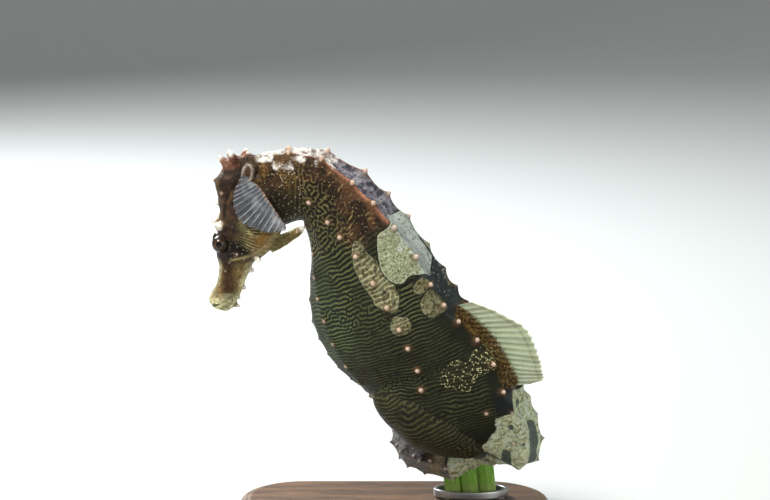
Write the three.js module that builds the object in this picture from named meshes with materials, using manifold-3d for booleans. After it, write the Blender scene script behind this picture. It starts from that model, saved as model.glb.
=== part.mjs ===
// A male lined seahorse, life size, its tail wrapped round a cut bunch of eelgrass on a plain
// display stand.  Millimetres, +Z up.  The animal faces -X and turns its left side to -Y.
// The origin is the centre of the stand's underside.
import * as THREE from "three";
import { mergeVertices } from "three/addons/utils/BufferGeometryUtils.js";
import Module from "manifold-3d";

const wasm = await Module();
wasm.setup();

// ---------------------------------------------------------------- driving dimensions
const GAP = 0.3; // clearance between neighbouring pieces

const PLANE_Y = -4.8; // the plane of the spine, across which head and trunk are rolled

const TRUNK_ROLL = 25; // degrees by which the back turns towards -Y
const NECK_ROLL = 21;
const HEAD_ROLL = 10;

// Rings of neck and trunk, from the nape to the last trunk ring, one row each:
// back x, back z, belly x, belly z, half width.  A ring's tubercles stand at its middle.
const NECK_ROWS = [
  [-26.4, 78.3, -22.3, 64.2, 4.4],
  [-20.9, 78.9, -19.3, 66.0, 4.4],
];
const TRUNK_ROWS = [
  [-14.9, 78.3, -17.6, 64.6, 4.7],
  [-7.8, 74.3, -16.4, 58.5, 5.3],
  [-3.0, 70.0, -16.8, 52.8, 6.0],
  [1.6, 64.8, -16.9, 48.1, 6.8],
  [5.6, 59.3, -16.1, 43.6, 7.5],
  [8.8, 54.2, -14.5, 39.9, 8.0],
  [11.6, 50.2, -12.3, 36.4, 8.1],
  [14.4, 46.7, -9.9, 34.0, 8.0],
  [17.8, 43.0, -7.4, 31.9, 7.6],
  [20.8, 38.5, -5.4, 30.0, 7.1],
  [23.0, 34.3, -1.4, 27.3, 6.5],
];
// First rings of the tail: the same five columns, then roll and the shift away in +Y.
const TAIL_ROWS = [
  [24.8, 31.0, 5.1, 25.3, 6.0, 25, 0],
  [26.4, 28.0, 11.1, 24.2, 5.4, 25, 0.2],
  [27.6, 24.4, 16.0, 23.2, 4.8, 26, 0.6],
  [28.1, 19.6, 18.4, 22.6, 4.2, 28, 1.4],
  [27.0, 16.0, 19.0, 22.0, 3.7, 30, 2.6],
  [22.5, 15.9, 18.8, 21.4, 3.3, 33, 4.2],
  [19.1, 15.6, 17.3, 20.6, 3.0, 36, 5.5],
  [15.6, 15.0, 14.6, 19.7, 2.8, 39, 6.4],
];
// The rest of the tail coils up round the eelgrass, counted in quarter turns from the front.
const COIL_RINGS = 28;
const COIL_QUARTERS = 6.15;
const COIL_START_Z = 14.4;
const COIL_RISE = 17;
const TAIL_TIP_RADIUS = 0.55;
const COIL_START_RADIUS = 2.75;

// Head and snout, from the crown to the mouth: forehead x, z, throat x, z, half width.
const HEAD_ROWS = [
  [-33.8, 77.2, -26.8, 77.5, 2.2],
  [-35.7, 74.1, -24.7, 74.3, 3.4],
  [-35.0, 69.4, -22.9, 69.4, 4.2],
  [-35.2, 66.0, -22.4, 65.0, 4.6],
  [-35.8, 62.2, -24.7, 60.4, 4.3],
  [-35.6, 59.4, -28.2, 57.9, 3.1],
  [-35.0, 56.7, -30.1, 55.3, 2.1],
  [-35.5, 53.4, -31.0, 51.8, 1.8],
  [-36.5, 51.2, -31.9, 49.4, 2.0],
  [-37.6, 49.3, -33.2, 47.4, 2.3],
  [-37.1, 47.8, -34.3, 46.8, 1.6],
];
const SNOUT_START = 5.4;

const EYE_RADIUS = 1.75;
const EYE_X = -34.9;
const EYE_Z = 61.9;
const EYE_OFFSET = 3.0; // from the plane of symmetry to each eye's centre

const POUCH_CENTRE = [6.1, 24.8];
const POUCH_HALF_LENGTH = 12;
const POUCH_HALF_DEPTH = 5.5;
const POUCH_HALF_WIDTH = 6.6;
const POUCH_SLOPE = -29.5; // degrees, falling towards +X

const FIN_THICKNESS = 0.5;

const BASE = { width: 66, depth: 52, height: 5, corner: 14, bevel: 0.6 };
const ROD = { radius: 1.2, top: 30 };
const LEAF = { width: 3.4, thickness: 0.9, bottom: 5.5, top: 40 };
const BUNCH_Y = 11;
const BUNCH_HALF = { x: 6.5, y: 3.6 }; // room that the tail's coil leaves for the bunch
const BUNCH_FOOT = { x: 15.7, z: 8 }; // the bunch leans to -X above this point
const BUNCH_LEAN = 0.11;
const COLLAR = { height: 1.6, wall: 0.9 };

// ---------------------------------------------------------------- small helpers
const radians = THREE.MathUtils.degToRad;
const vec = (x, y, z) => new THREE.Vector3(x, y, z);
const lerp = THREE.MathUtils.lerp;

function bunchX(z) {
  return BUNCH_FOOT.x - BUNCH_LEAN * (z - BUNCH_FOOT.z);
}

function catmullRom(before, start, end, after, t) {
  const a = 2 * start;
  const b = end - before;
  const c = 2 * before - 5 * start + 4 * end - after;
  const d = 3 * start - before - 3 * end + after;
  return 0.5 * (a + t * (b + t * (c + t * d)));
}

// A triangle list as a closed manifold solid, turned face out.
function solid(points, triangles) {
  const geometry = new THREE.BufferGeometry();
  const positions = points.flatMap((p) => p.toArray());
  geometry.setAttribute("position", new THREE.Float32BufferAttribute(positions, 3));
  geometry.setIndex(triangles.flat());
  return solidOf(geometry);
}

function signedVolume(positions, index) {
  const corners = [vec(0, 0, 0), vec(0, 0, 0), vec(0, 0, 0)];
  let sum = 0;
  for (let i = 0; i < index.length; i += 3) {
    corners.forEach((corner, k) => corner.fromArray(positions, 3 * index[i + k]));
    sum += corners[0].dot(corners[1].cross(corners[2]));
  }
  return sum / 6;
}

function solidOf(source) {
  const bare = source.clone();
  bare.deleteAttribute("normal");
  bare.deleteAttribute("uv");
  const merged = mergeVertices(bare, 1e-4);
  const vertProperties = new Float32Array(merged.attributes.position.array);
  let triVerts = Uint32Array.from(merged.index.array);
  if (signedVolume(vertProperties, triVerts) < 0) {
    triVerts = triVerts.slice().reverse();
  }
  return new wasm.Manifold(new wasm.Mesh({ numProp: 3, vertProperties, triVerts }));
}

// The mesh of a solid, without any sliver that a cut has parted from it.
function geometryOf(manifold) {
  const largest = manifold.decompose().sort((a, b) => b.volume() - a.volume())[0];
  const { vertProperties, triVerts } = largest.getMesh();
  const geometry = new THREE.BufferGeometry();
  geometry.setAttribute("position", new THREE.BufferAttribute(new Float32Array(vertProperties), 3));
  geometry.setIndex(new THREE.BufferAttribute(new Uint32Array(triVerts), 1));
  return geometry;
}

// A skin through closed rows of points, with a fan over each end.
function skinRows(rows) {
  const count = rows[0].length;
  const points = rows.flat();
  const triangles = [];
  for (let r = 0; r + 1 < rows.length; r += 1) {
    for (let i = 0; i < count; i += 1) {
      const a = r * count + i;
      const b = r * count + ((i + 1) % count);
      triangles.push([a, b, b + count], [a, b + count, a + count]);
    }
  }
  const centre = (row) => row.reduce((sum, p) => sum.add(p), vec(0, 0, 0)).divideScalar(count);
  const first = points.push(centre(rows[0])) - 1;
  const last = points.push(centre(rows.at(-1))) - 1;
  const base = (rows.length - 1) * count;
  for (let i = 0; i < count; i += 1) {
    const next = (i + 1) % count;
    triangles.push([first, next, i], [last, base + i, base + next]);
  }
  return solid(points, triangles);
}

// ---------------------------------------------------------------- body stations
// A station holds a ring's centre, the direction of its back, its half depth and half width.
function planeStation([backX, backZ, bellyX, bellyZ, halfWidth, roll, shift = 0]) {
  const back = vec(backX, PLANE_Y + shift, backZ);
  const belly = vec(bellyX, PLANE_Y + shift, bellyZ);
  const up = back.clone().sub(belly).normalize();
  const side = vec(0, -1, 0);
  side.addScaledVector(up, -side.dot(up)).normalize();
  const dorsal = up.clone().multiplyScalar(Math.cos(radians(roll)));
  dorsal.addScaledVector(side, Math.sin(radians(roll)));
  const centre = back.clone().add(belly).multiplyScalar(0.5);
  const halfDepth = back.distanceTo(belly) / 2 / Math.cos(radians(roll));
  return [...centre.toArray(), ...dorsal.toArray(), halfDepth, halfWidth];
}

function coilStation(ring) {
  const share = ring / COIL_RINGS;
  const quarters = 0.15 + (COIL_QUARTERS - 0.15) * (1 - (1 - share) ** 1.15);
  const angle = radians(-90 - 90 * quarters);
  const z = COIL_START_Z + COIL_RISE * (1 - Math.exp(-quarters / 3.6));
  const radius = lerp(COIL_START_RADIUS, TAIL_TIP_RADIUS, share ** 1.25);
  const radiusX = BUNCH_HALF.x + radius + 5.9 * Math.exp(-quarters / 1.54);
  const radiusY = BUNCH_HALF.y + radius + 3.2 * Math.exp(-quarters / 1.2);
  const centre = vec(bunchX(z) + radiusX * Math.cos(angle), BUNCH_Y + radiusY * Math.sin(angle), z);
  const droop = radians(52 * Math.max(0, 1 - quarters / 2));
  const dorsal = vec(Math.cos(angle) * Math.cos(droop), Math.sin(angle) * Math.cos(droop), -Math.sin(droop));
  return [...centre.toArray(), ...dorsal.toArray(), radius, radius * 0.95];
}

function bodyStations() {
  const neck = NECK_ROWS.map((row) => planeStation([...row, NECK_ROLL]));
  const trunk = TRUNK_ROWS.map((row) => planeStation([...row, TRUNK_ROLL]));
  const tail = TAIL_ROWS.map((row) => planeStation(row));
  const coil = Array.from({ length: COIL_RINGS + 1 }, (_, ring) => coilStation(ring));
  return [...neck, ...trunk, ...tail, ...coil];
}

function headStations() {
  return HEAD_ROWS.map((row) => planeStation([...row, HEAD_ROLL]));
}

// The frame of a station list at any fractional ring.
function frameAt(stations, ring) {
  const last = stations.length - 1;
  const start = Math.min(Math.max(Math.floor(ring), 0), last - 1);
  const pick = (k) => stations[Math.min(Math.max(k, 0), last)];
  const rows = [pick(start - 1), pick(start), pick(start + 1), pick(start + 2)];
  const blend = (t) => rows[1].map((_, k) => catmullRom(rows[0][k], rows[1][k], rows[2][k], rows[3][k], t));
  const here = blend(ring - start);
  const behind = blend(ring - start - 0.05);
  const ahead = blend(ring - start + 0.05);
  const tangent = vec(ahead[0] - behind[0], ahead[1] - behind[1], ahead[2] - behind[2]).normalize();
  const dorsal = vec(here[3], here[4], here[5]).normalize();
  const left = tangent.clone().cross(dorsal).normalize();
  const centre = vec(here[0], here[1], here[2]);
  return { centre, dorsal, left, tangent, halfDepth: here[6], halfWidth: here[7] };
}

// ---------------------------------------------------------------- sections
// Half outlines from the back's midline to the belly's: width share, depth share, spine share.
const TRUNK_OUTLINE = [
  [0, 0.95, 0],
  [0.62, 1, 1],
  [0.9, 0.6, 0],
  [1, 0.14, 1],
  [0.94, -0.3, 0],
  [0.7, -0.68, 0.6],
  [0.34, -0.92, 0],
  [0, -1, 0.3],
];
const HEAD_OUTLINE = [
  [0, 1, 0],
  [0.46, 0.88, 0],
  [0.84, 0.5, 0],
  [1, 0, 0],
  [0.9, -0.5, 0],
  [0.56, -0.85, 0],
  [0.22, -0.98, 0],
  [0, -1, 0],
];
const TAIL_OUTLINE = [
  [0, 0.9, 0],
  [0.82, 0.96, 1],
  [1, 0, 0],
  [0.78, -0.9, 0.35],
  [0, -0.96, 0],
];

function sectionRow(frame, outline, grow, spine) {
  const halves = [1, -1].map((sign) =>
    outline.map(([across, up, spineShare]) => {
      const reach = vec(sign * across * frame.halfWidth, up * frame.halfDepth, 0);
      return reach.setLength(reach.length() + grow + spine * spineShare);
    }),
  );
  const ringOf = [...halves[0], ...halves[1].slice(1, -1).reverse()];
  return ringOf.map(({ x, y }) =>
    frame.centre.clone().addScaledVector(frame.left, x).addScaledVector(frame.dorsal, y),
  );
}

// A length of body between two fractional rings.  Spines rise at whole rings.
function bodyLength(stations, from, to, options) {
  const { outline, spineHeight = () => 0, grow = 0, steps = [0, 0.3, 0.5, 0.7] } = options;
  const places = [from];
  for (let ring = Math.floor(from - 0.5); ring <= Math.ceil(to); ring += 1) {
    places.push(...steps.map((step) => ring - 0.5 + step).filter((s) => s > from + 0.06 && s < to - 0.06));
  }
  places.push(to);
  const rows = places.map((place) => {
    const nearTip = Math.abs(place - Math.round(place)) < 0.01;
    return sectionRow(frameAt(stations, place), outline, grow, nearTip ? spineHeight(place) : 0);
  });
  return skinRows(rows);
}

// A pointed, slightly bent horn from a foot to a tip.
function horn(foot, tip, footRadius, sides = 6) {
  const axis = tip.clone().sub(foot);
  const across = vec(0, -1, 0).cross(axis).normalize();
  const other = axis.clone().cross(across).normalize();
  const rows = [1, 0.62, 0.16].map((share, step) => {
    const middle = foot.clone().addScaledVector(axis, step / 2);
    return Array.from({ length: sides }, (_, i) => {
      const turn = (2 * Math.PI * i) / sides;
      const spread = footRadius * share;
      return middle
        .clone()
        .addScaledVector(across, spread * Math.cos(turn))
        .addScaledVector(other, spread * Math.sin(turn));
    });
  });
  return skinRows(rows);
}

// A fin: rows of points along its base and edge, thickened to both sides of the sheet.
function finSheet(sheet, normals) {
  const rows = sheet.map((ray, i) => {
    const lift = normals[i].clone().multiplyScalar(FIN_THICKNESS / 2);
    const near = ray.map((p) => p.clone().add(lift));
    const far = ray.map((p) => p.clone().sub(lift)).reverse();
    return [...near, ...far];
  });
  return skinRows(rows);
}

// ---------------------------------------------------------------- the animal
const BODY = bodyStations();
const HEAD = headStations();
const FIRST_TRUNK = NECK_ROWS.length;
const FIRST_TAIL = FIRST_TRUNK + TRUNK_ROWS.length;
const FIRST_COIL = FIRST_TAIL + TAIL_ROWS.length;
const TAIL_END = BODY.length - 1;

const CUTS = {
  neckEnd: FIRST_TRUNK - 0.5,
  trunkMiddle: FIRST_TRUNK + 4.5,
  trunkEnd: FIRST_TAIL - 0.5,
  tail: [FIRST_TAIL + 3.5, ...[0.5, 5, 10, 15.5, 21.5].map((rings) => FIRST_COIL + rings)],
};
const HALF_CUT = 0.05; // of a ring, so that the gap is near GAP at the widest cuts

const spineHeight = (ring) => lerp(0.75, 0.25, Math.max(0, ring - FIRST_TAIL) / (TAIL_END - FIRST_TAIL));

function eyeCentre(side) {
  const crown = frameAt(HEAD, 4);
  const left = crown.left.clone();
  if (left.y > 0) {
    left.negate();
  }
  return vec(EYE_X, PLANE_Y, EYE_Z).addScaledVector(left, side * EYE_OFFSET);
}

function eyeBall(side, grow = 0) {
  const ball = new THREE.SphereGeometry(EYE_RADIUS + grow, 14, 10);
  ball.translate(...eyeCentre(side).toArray());
  return solidOf(ball);
}

// A point beside the head: x and z in the plane of symmetry, then the offset to its side.
function besideHead(x, z, offset) {
  const { left } = frameAt(HEAD, 3);
  const sign = left.y > 0 ? -1 : 1;
  return vec(x, PLANE_Y, z).addScaledVector(left, sign * offset);
}

function headSpines() {
  const spines = [
    horn(besideHead(-34.0, 69.5, 0), besideHead(-36.1, 69.8, 0), 1.0),
    horn(besideHead(-24.6, 61.6, 0.8), besideHead(-18.5, 65.1, 1.6), 1.35),
    horn(besideHead(-31.2, 55.9, 0), besideHead(-29.3, 55.4, 0), 0.8),
  ];
  for (const side of [1, -1]) {
    spines.push(horn(besideHead(-33.9, 65.3, side * 2.0), besideHead(-36.0, 65.7, side * 3.2), 0.8));
    spines.push(horn(besideHead(-28.6, 59.9, side * 2.4), besideHead(-27.8, 58.4, side * 4.0), 0.8));
  }
  return spines;
}

function headSolid(grow = 0) {
  const skull = bodyLength(HEAD, 0, SNOUT_START, { outline: HEAD_OUTLINE, grow, steps: [0, 0.5] });
  return headSpines().reduce((whole, spine) => whole.add(spine), skull);
}

// The coronet: a flared crown of five points with a hollow top, tilted forward.
function coronet() {
  const foot = besideHead(-30.8, 76.6, 0);
  const axis = vec(-0.12, 0, 1).normalize();
  const forward = vec(-1, -0.16, -0.12).normalize();
  const across = axis.clone().cross(forward).normalize();
  const points = 10;
  const place = (turn, radius, height, stretch) =>
    foot
      .clone()
      .addScaledVector(axis, height)
      .addScaledVector(forward, radius * stretch * Math.cos(turn))
      .addScaledVector(across, radius * Math.sin(turn));
  const row = (radiusOf, heightOf, stretch) =>
    Array.from({ length: points }, (_, i) =>
      place((2 * Math.PI * i) / points, radiusOf(i % 2 === 0), heightOf(i % 2 === 0), stretch),
    );
  const rows = [
    row(() => 2.0, () => 0, 1.5),
    row(() => 2.1, () => 1.2, 1.45),
    row((tip) => (tip ? 3.2 : 2.2), (tip) => (tip ? 3.4 : 2.5), 1.25),
    row((tip) => (tip ? 2.6 : 1.7), (tip) => (tip ? 3.2 : 2.4), 1.25),
    row(() => 0.8, () => 1.9, 1.25),
  ];
  return skinRows(rows);
}

function pouchSolid() {
  const pouch = new THREE.SphereGeometry(1, 22, 14);
  pouch.rotateZ(Math.PI / 2);
  pouch.scale(POUCH_HALF_LENGTH, POUCH_HALF_WIDTH, POUCH_HALF_DEPTH);
  pouch.rotateX(radians(TRUNK_ROLL * 0.6));
  pouch.rotateY(radians(-POUCH_SLOPE));
  pouch.translate(POUCH_CENTRE[0], PLANE_Y, POUCH_CENTRE[1]);
  return solidOf(pouch);
}

// The dorsal fin stands on the midline of the back, its rays leaning towards the tail.
function dorsalFin() {
  const from = FIRST_TRUNK + 6.1;
  const to = FIRST_TRUNK + 10.1;
  const rays = 18;
  const height = 9.2;
  const sheet = [];
  const normals = [];
  for (let i = 0; i <= rays; i += 1) {
    const share = i / rays;
    const frame = frameAt(BODY, lerp(from, to, share));
    const foot = frame.centre.clone().addScaledVector(frame.dorsal, frame.halfDepth * 0.93);
    const lean = radians(lerp(10, 5, share));
    const along = frame.dorsal.clone().multiplyScalar(Math.cos(lean));
    along.addScaledVector(frame.tangent, Math.sin(lean));
    const length = height * Math.sin(Math.PI * (0.08 + 0.73 * share)) ** 0.7;
    sheet.push([0, 0.35, 0.7, 1].map((t) => foot.clone().addScaledVector(along, length * t)));
    normals.push(frame.left.clone());
  }
  return finSheet(sheet, normals);
}

// A pectoral fin fans forward from the side of the neck over the gill cover.
function pectoralFin(side) {
  const rays = 14;
  const root = [[-26.9, 76.0], [-24.6, 71.4], [-21.4, 65.2]];
  const edge = [[-29.2, 76.6], [-31.9, 72.4], [-31.2, 68.0], [-28.4, 65.4], [-22.2, 64.3]];
  const rootCurve = new THREE.CatmullRomCurve3(root.map(([x, z]) => vec(x, 0, z)));
  const edgeCurve = new THREE.CatmullRomCurve3(edge.map(([x, z]) => vec(x, 0, z)));
  const outward = besideHead(0, 0, side).sub(besideHead(0, 0, 0));
  const sheet = [];
  const normals = [];
  for (let i = 0; i <= rays; i += 1) {
    const share = i / rays;
    const foot = rootCurve.getPoint(share);
    const end = edgeCurve.getPoint(share);
    sheet.push(
      [0, 0.33, 0.67, 1].map((t) => {
        const spot = foot.clone().lerp(end, t);
        const bulge = 4.7 + 1.4 * Math.sin(Math.PI * 0.5 * t);
        return besideHead(spot.x, spot.z, side * bulge);
      }),
    );
    normals.push(outward);
  }
  return finSheet(sheet, normals);
}

// The small anal fin lies under the last trunk ring, in front of the pouch.
function analFin() {
  const frame = frameAt(BODY, FIRST_TAIL - 1.6);
  const sheet = [0, 1, 2, 3, 4].map((i) => {
    const share = i / 4;
    const foot = frameAt(BODY, FIRST_TAIL - 1.75 + 0.5 * share);
    const root = foot.centre.clone().addScaledVector(foot.dorsal, -foot.halfDepth * 0.96);
    const length = 1.5 + 0.7 * Math.sin(Math.PI * share);
    return [0, 1].map((t) => root.clone().addScaledVector(foot.dorsal, -length * t));
  });
  return finSheet(sheet, sheet.map(() => frame.left));
}

function trunkLength(from, to, grow = 0) {
  return bodyLength(BODY, from, to, { outline: TRUNK_OUTLINE, spineHeight, grow });
}

function tailLength(from, to) {
  return bodyLength(BODY, from, to, { outline: TAIL_OUTLINE, spineHeight, steps: [0, 0.3, 0.5, 0.7] });
}

// ---------------------------------------------------------------- eelgrass and stand
// Each leaf: place across the bunch, place in its depth, splay at the top, share of the length.
const LEAVES = [
  [-3.7, -1.75, -0.9, 0.93],
  [0, -2.0, 0.2, 1],
  [3.7, -1.75, 0.8, 0.88],
  [-2.1, 1.85, -0.5, 0.96],
  [1.9, 1.85, 0.6, 0.9],
];

function leaf([across, inward, splay, share]) {
  const top = lerp(LEAF.bottom, LEAF.top, share);
  const steps = 9;
  const rows = Array.from({ length: steps + 1 }, (_, i) => {
    const t = i / steps;
    const z = lerp(LEAF.bottom, top, t);
    const middle = vec(bunchX(z) + across + splay * t ** 4, BUNCH_Y + inward, z);
    const half = LEAF.width / 2;
    const thick = LEAF.thickness / 2;
    const outline = [
      [-half, 0],
      [-half * 0.6, -thick],
      [half * 0.6, -thick],
      [half, 0],
      [half * 0.6, thick],
      [-half * 0.6, thick],
    ];
    return outline.map(([x, y]) => middle.clone().add(vec(x, y, 0)));
  });
  return skinRows(rows);
}

function ovalShape(halfX, halfY) {
  const shape = new THREE.Shape();
  shape.absellipse(0, 0, halfX, halfY, 0, 2 * Math.PI, false, 0);
  return shape;
}

function collar() {
  const innerX = 6.9;
  const innerY = 3.4;
  const shape = ovalShape(innerX + COLLAR.wall, innerY + COLLAR.wall);
  shape.holes.push(ovalShape(innerX, innerY));
  const extrusion = { depth: COLLAR.height, bevelEnabled: false, curveSegments: 18 };
  const ring = new THREE.ExtrudeGeometry(shape, extrusion);
  ring.translate(bunchX(BASE.height + COLLAR.height / 2), BUNCH_Y, BASE.height + GAP);
  return solidOf(ring);
}

function baseSolid() {
  const halfX = BASE.width / 2 - BASE.bevel;
  const halfY = BASE.depth / 2 - BASE.bevel;
  const corner = BASE.corner;
  const shape = new THREE.Shape();
  shape.absarc(halfX - corner, halfY - corner, corner, 0, Math.PI / 2);
  shape.absarc(corner - halfX, halfY - corner, corner, Math.PI / 2, Math.PI);
  shape.absarc(corner - halfX, corner - halfY, corner, Math.PI, 1.5 * Math.PI);
  shape.absarc(halfX - corner, corner - halfY, corner, 1.5 * Math.PI, 2 * Math.PI);
  const slab = new THREE.ExtrudeGeometry(shape, {
    depth: BASE.height - 2 * BASE.bevel,
    bevelThickness: BASE.bevel,
    bevelSize: BASE.bevel,
    bevelSegments: 1,
    curveSegments: 7,
  });
  slab.translate(0, 0, BASE.bevel);
  return solidOf(slab);
}

function rodSolid(grow = 0) {
  const foot = vec(bunchX(BASE.height), BUNCH_Y, BASE.height + GAP - grow);
  const top = vec(bunchX(ROD.top), BUNCH_Y, ROD.top + grow);
  const rod = new THREE.CylinderGeometry(ROD.radius + grow, ROD.radius + grow, foot.distanceTo(top), 16);
  const along = top.clone().sub(foot).normalize();
  rod.applyQuaternion(new THREE.Quaternion().setFromUnitVectors(vec(0, 1, 0), along));
  const middle = foot.clone().add(top).multiplyScalar(0.5);
  rod.translate(middle.x, middle.y, middle.z);
  return solidOf(rod);
}

// ---------------------------------------------------------------- assembly
const SKIN = { color: 0x4a3a28, roughness: 0.55, metalness: 0 };
const TAIL_SKIN = { color: 0x5a4a38, roughness: 0.55, metalness: 0 };
const PALE_SKIN = { color: 0xb9b49a, roughness: 0.55, metalness: 0 };
const FIN_SKIN = { color: 0xc9d2bd, roughness: 0.4, metalness: 0 };
const EYE = { color: 0x1b120c, roughness: 0.08, metalness: 0 };
const GRASS = { color: 0x4f9a1f, roughness: 0.35, metalness: 0 };
const STEEL = { color: 0xb4b6b8, roughness: 0.3, metalness: 1 };
const WOOD = { color: 0x4a2f1d, roughness: 0.5, metalness: 0 };

const seahorse = new THREE.Group();

function addPiece(name, manifold, finish) {
  const mesh = new THREE.Mesh(geometryOf(manifold), new THREE.MeshStandardMaterial(finish));
  mesh.name = name;
  seahorse.add(mesh);
}

const eyesGrown = [1, -1].map((side) => eyeBall(side, GAP));
const head = eyesGrown.reduce((whole, ball) => whole.subtract(ball), headSolid());
const headGrown = headSolid(GAP);
const snoutShape = { outline: HEAD_OUTLINE, steps: [0, 0.5] };
const snout = bodyLength(HEAD, SNOUT_START + 0.1, HEAD.length - 1, snoutShape);
const neck = trunkLength(0, CUTS.neckEnd - HALF_CUT).subtract(headGrown);
const trunkGrown = trunkLength(CUTS.trunkMiddle, CUTS.tail[0], GAP);
const neckGrown = trunkLength(0, CUTS.neckEnd, GAP);

addPiece("head", head, SKIN);
addPiece("snout", snout, SKIN);
addPiece("coronet", coronet().subtract(headGrown).subtract(neckGrown), SKIN);
addPiece("eye_left", eyeBall(1), EYE);
addPiece("eye_right", eyeBall(-1), EYE);
addPiece("neck", neck, SKIN);
addPiece("trunk_upper", trunkLength(CUTS.neckEnd + HALF_CUT, CUTS.trunkMiddle - HALF_CUT), SKIN);
addPiece("trunk_lower", trunkLength(CUTS.trunkMiddle + HALF_CUT, CUTS.trunkEnd - HALF_CUT), SKIN);
addPiece("tail_base", trunkLength(CUTS.trunkEnd + HALF_CUT, CUTS.tail[0] - HALF_CUT), PALE_SKIN);

const tailEnds = [...CUTS.tail, TAIL_END];
for (let k = 0; k + 1 < tailEnds.length; k += 1) {
  const end = k + 2 < tailEnds.length ? tailEnds[k + 1] - 2 * HALF_CUT : TAIL_END;
  addPiece(`tail_${k + 1}`, tailLength(tailEnds[k], end), TAIL_SKIN);
}

const tailGrown = bodyLength(BODY, CUTS.tail[0], CUTS.tail[1] + 3, { outline: TAIL_OUTLINE, grow: GAP });
addPiece("pouch", pouchSolid().subtract(trunkGrown).subtract(tailGrown), SKIN);
addPiece("fin_dorsal", dorsalFin().subtract(trunkGrown), FIN_SKIN);
addPiece("fin_anal", analFin().subtract(trunkGrown).subtract(pouchSolid()), FIN_SKIN);
for (const [name, side] of [["left", 1], ["right", -1]]) {
  addPiece(`fin_pectoral_${name}`, pectoralFin(side).subtract(headGrown).subtract(neckGrown), FIN_SKIN);
}

const rodGrown = rodSolid(GAP);
LEAVES.forEach((row, i) => addPiece(`leaf_${i + 1}`, leaf(row).subtract(rodGrown), GRASS));
addPiece("stand_collar", collar(), STEEL);
addPiece("stand_rod", rodSolid(), STEEL);
addPiece("stand_base", baseSolid(), WOOD);

export default seahorse;
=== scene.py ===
"""A male lined seahorse, life size, its tail wrapped round a bunch of eelgrass on a display stand.

The numbers below are millimetres, +Z up: the animal faces -X and turns its left side to -Y.
Meshes are made in millimetres and scaled to metres as they go into Blender.
"""
import math

import bpy
import numpy as np
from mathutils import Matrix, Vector
from mathutils.bvhtree import BVHTree


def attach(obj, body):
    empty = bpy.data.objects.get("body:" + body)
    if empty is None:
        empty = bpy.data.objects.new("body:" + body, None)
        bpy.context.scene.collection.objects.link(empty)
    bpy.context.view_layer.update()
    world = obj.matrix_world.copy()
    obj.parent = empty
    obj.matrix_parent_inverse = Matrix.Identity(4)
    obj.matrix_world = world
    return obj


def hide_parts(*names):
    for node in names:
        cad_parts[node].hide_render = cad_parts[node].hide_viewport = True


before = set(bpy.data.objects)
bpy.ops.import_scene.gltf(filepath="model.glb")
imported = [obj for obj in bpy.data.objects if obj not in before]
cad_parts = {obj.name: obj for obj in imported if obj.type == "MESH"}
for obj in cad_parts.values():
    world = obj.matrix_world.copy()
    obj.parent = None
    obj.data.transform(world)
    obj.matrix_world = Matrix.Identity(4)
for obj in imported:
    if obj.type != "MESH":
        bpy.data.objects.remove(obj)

MM = 0.001

# ---------------------------------------------------------------- driving dimensions
PLANE_Y = -4.8  # the plane of the spine, across which head and trunk are rolled
TRUNK_ROLL = 25
NECK_ROLL = 21
HEAD_ROLL = 10

# Rings of neck, trunk and tail: back x, back z, belly x, belly z, half width (, roll, shift in y).
NECK_ROWS = [
    [-30.6, 78.0, -25.4, 63.4, 3.5],
    [-20.9, 79.4, -19.3, 66.0, 4.5],
]
TRUNK_ROWS = [
    [-14.6, 78.9, -17.6, 64.6, 4.7],
    [-7.3, 74.9, -16.4, 58.5, 5.3],
    [-2.5, 70.5, -16.8, 52.8, 6.0],
    [2.2, 65.2, -16.9, 48.1, 6.8],
    [6.2, 59.7, -16.1, 43.6, 7.5],
    [9.3, 54.5, -14.5, 39.9, 8.0],
    [11.9, 50.4, -12.3, 36.4, 8.1],
    [14.4, 46.7, -9.9, 34.0, 8.0],
    [17.8, 43.0, -7.4, 31.9, 7.6],
    [20.8, 38.5, -5.4, 30.0, 7.1],
    [23.0, 34.3, -1.4, 27.3, 6.5],
]
TAIL_ROWS = [
    [24.8, 31.0, 5.1, 25.3, 6.0, 25, 0],
    [26.4, 28.0, 11.1, 24.2, 5.4, 25, 0.2],
    [27.6, 24.4, 16.0, 23.2, 4.8, 26, 0.6],
    [28.1, 19.6, 18.4, 22.6, 4.2, 28, 1.4],
    [27.0, 16.0, 19.0, 22.0, 3.7, 30, 2.6],
    [22.5, 15.9, 18.8, 21.4, 3.3, 33, 4.2],
    [19.1, 15.6, 17.3, 20.6, 3.0, 36, 5.5],
    [15.6, 15.0, 14.6, 19.7, 2.8, 39, 6.4],
]
COIL_RINGS = 28
COIL_QUARTERS = 6.15
COIL_START_Z = 14.4
COIL_RISE = 17
TAIL_TIP_RADIUS = 0.55
COIL_START_RADIUS = 2.75
FIRST_TRUNK = len(NECK_ROWS)
FIRST_TAIL = FIRST_TRUNK + len(TRUNK_ROWS)
FIRST_COIL = FIRST_TAIL + len(TAIL_ROWS)
TAIL_END = FIRST_COIL + COIL_RINGS

# Head and snout, from the crown to the mouth: forehead x, z, throat x, z, half width.
HEAD_ROWS = [
    [-33.8, 77.2, -26.8, 77.5, 2.2],
    [-35.7, 74.1, -24.7, 74.3, 3.4],
    [-35.0, 69.4, -22.9, 69.4, 4.2],
    [-35.2, 66.0, -22.4, 65.0, 4.6],
    [-35.8, 62.2, -24.7, 60.4, 4.3],
    [-35.6, 59.4, -28.0, 57.9, 3.1],
    [-35.0, 56.7, -29.4, 55.2, 2.2],
    [-35.5, 53.6, -30.6, 52.0, 1.9],
    [-36.4, 51.8, -31.5, 50.2, 2.0],
    [-37.3, 50.3, -32.4, 48.5, 2.25],
    [-36.9, 48.9, -33.6, 47.7, 1.6],
]
EYE_RADIUS = 1.75
EYE_X = -34.9
EYE_Z = 61.9
EYE_OFFSET = 3.0

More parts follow.
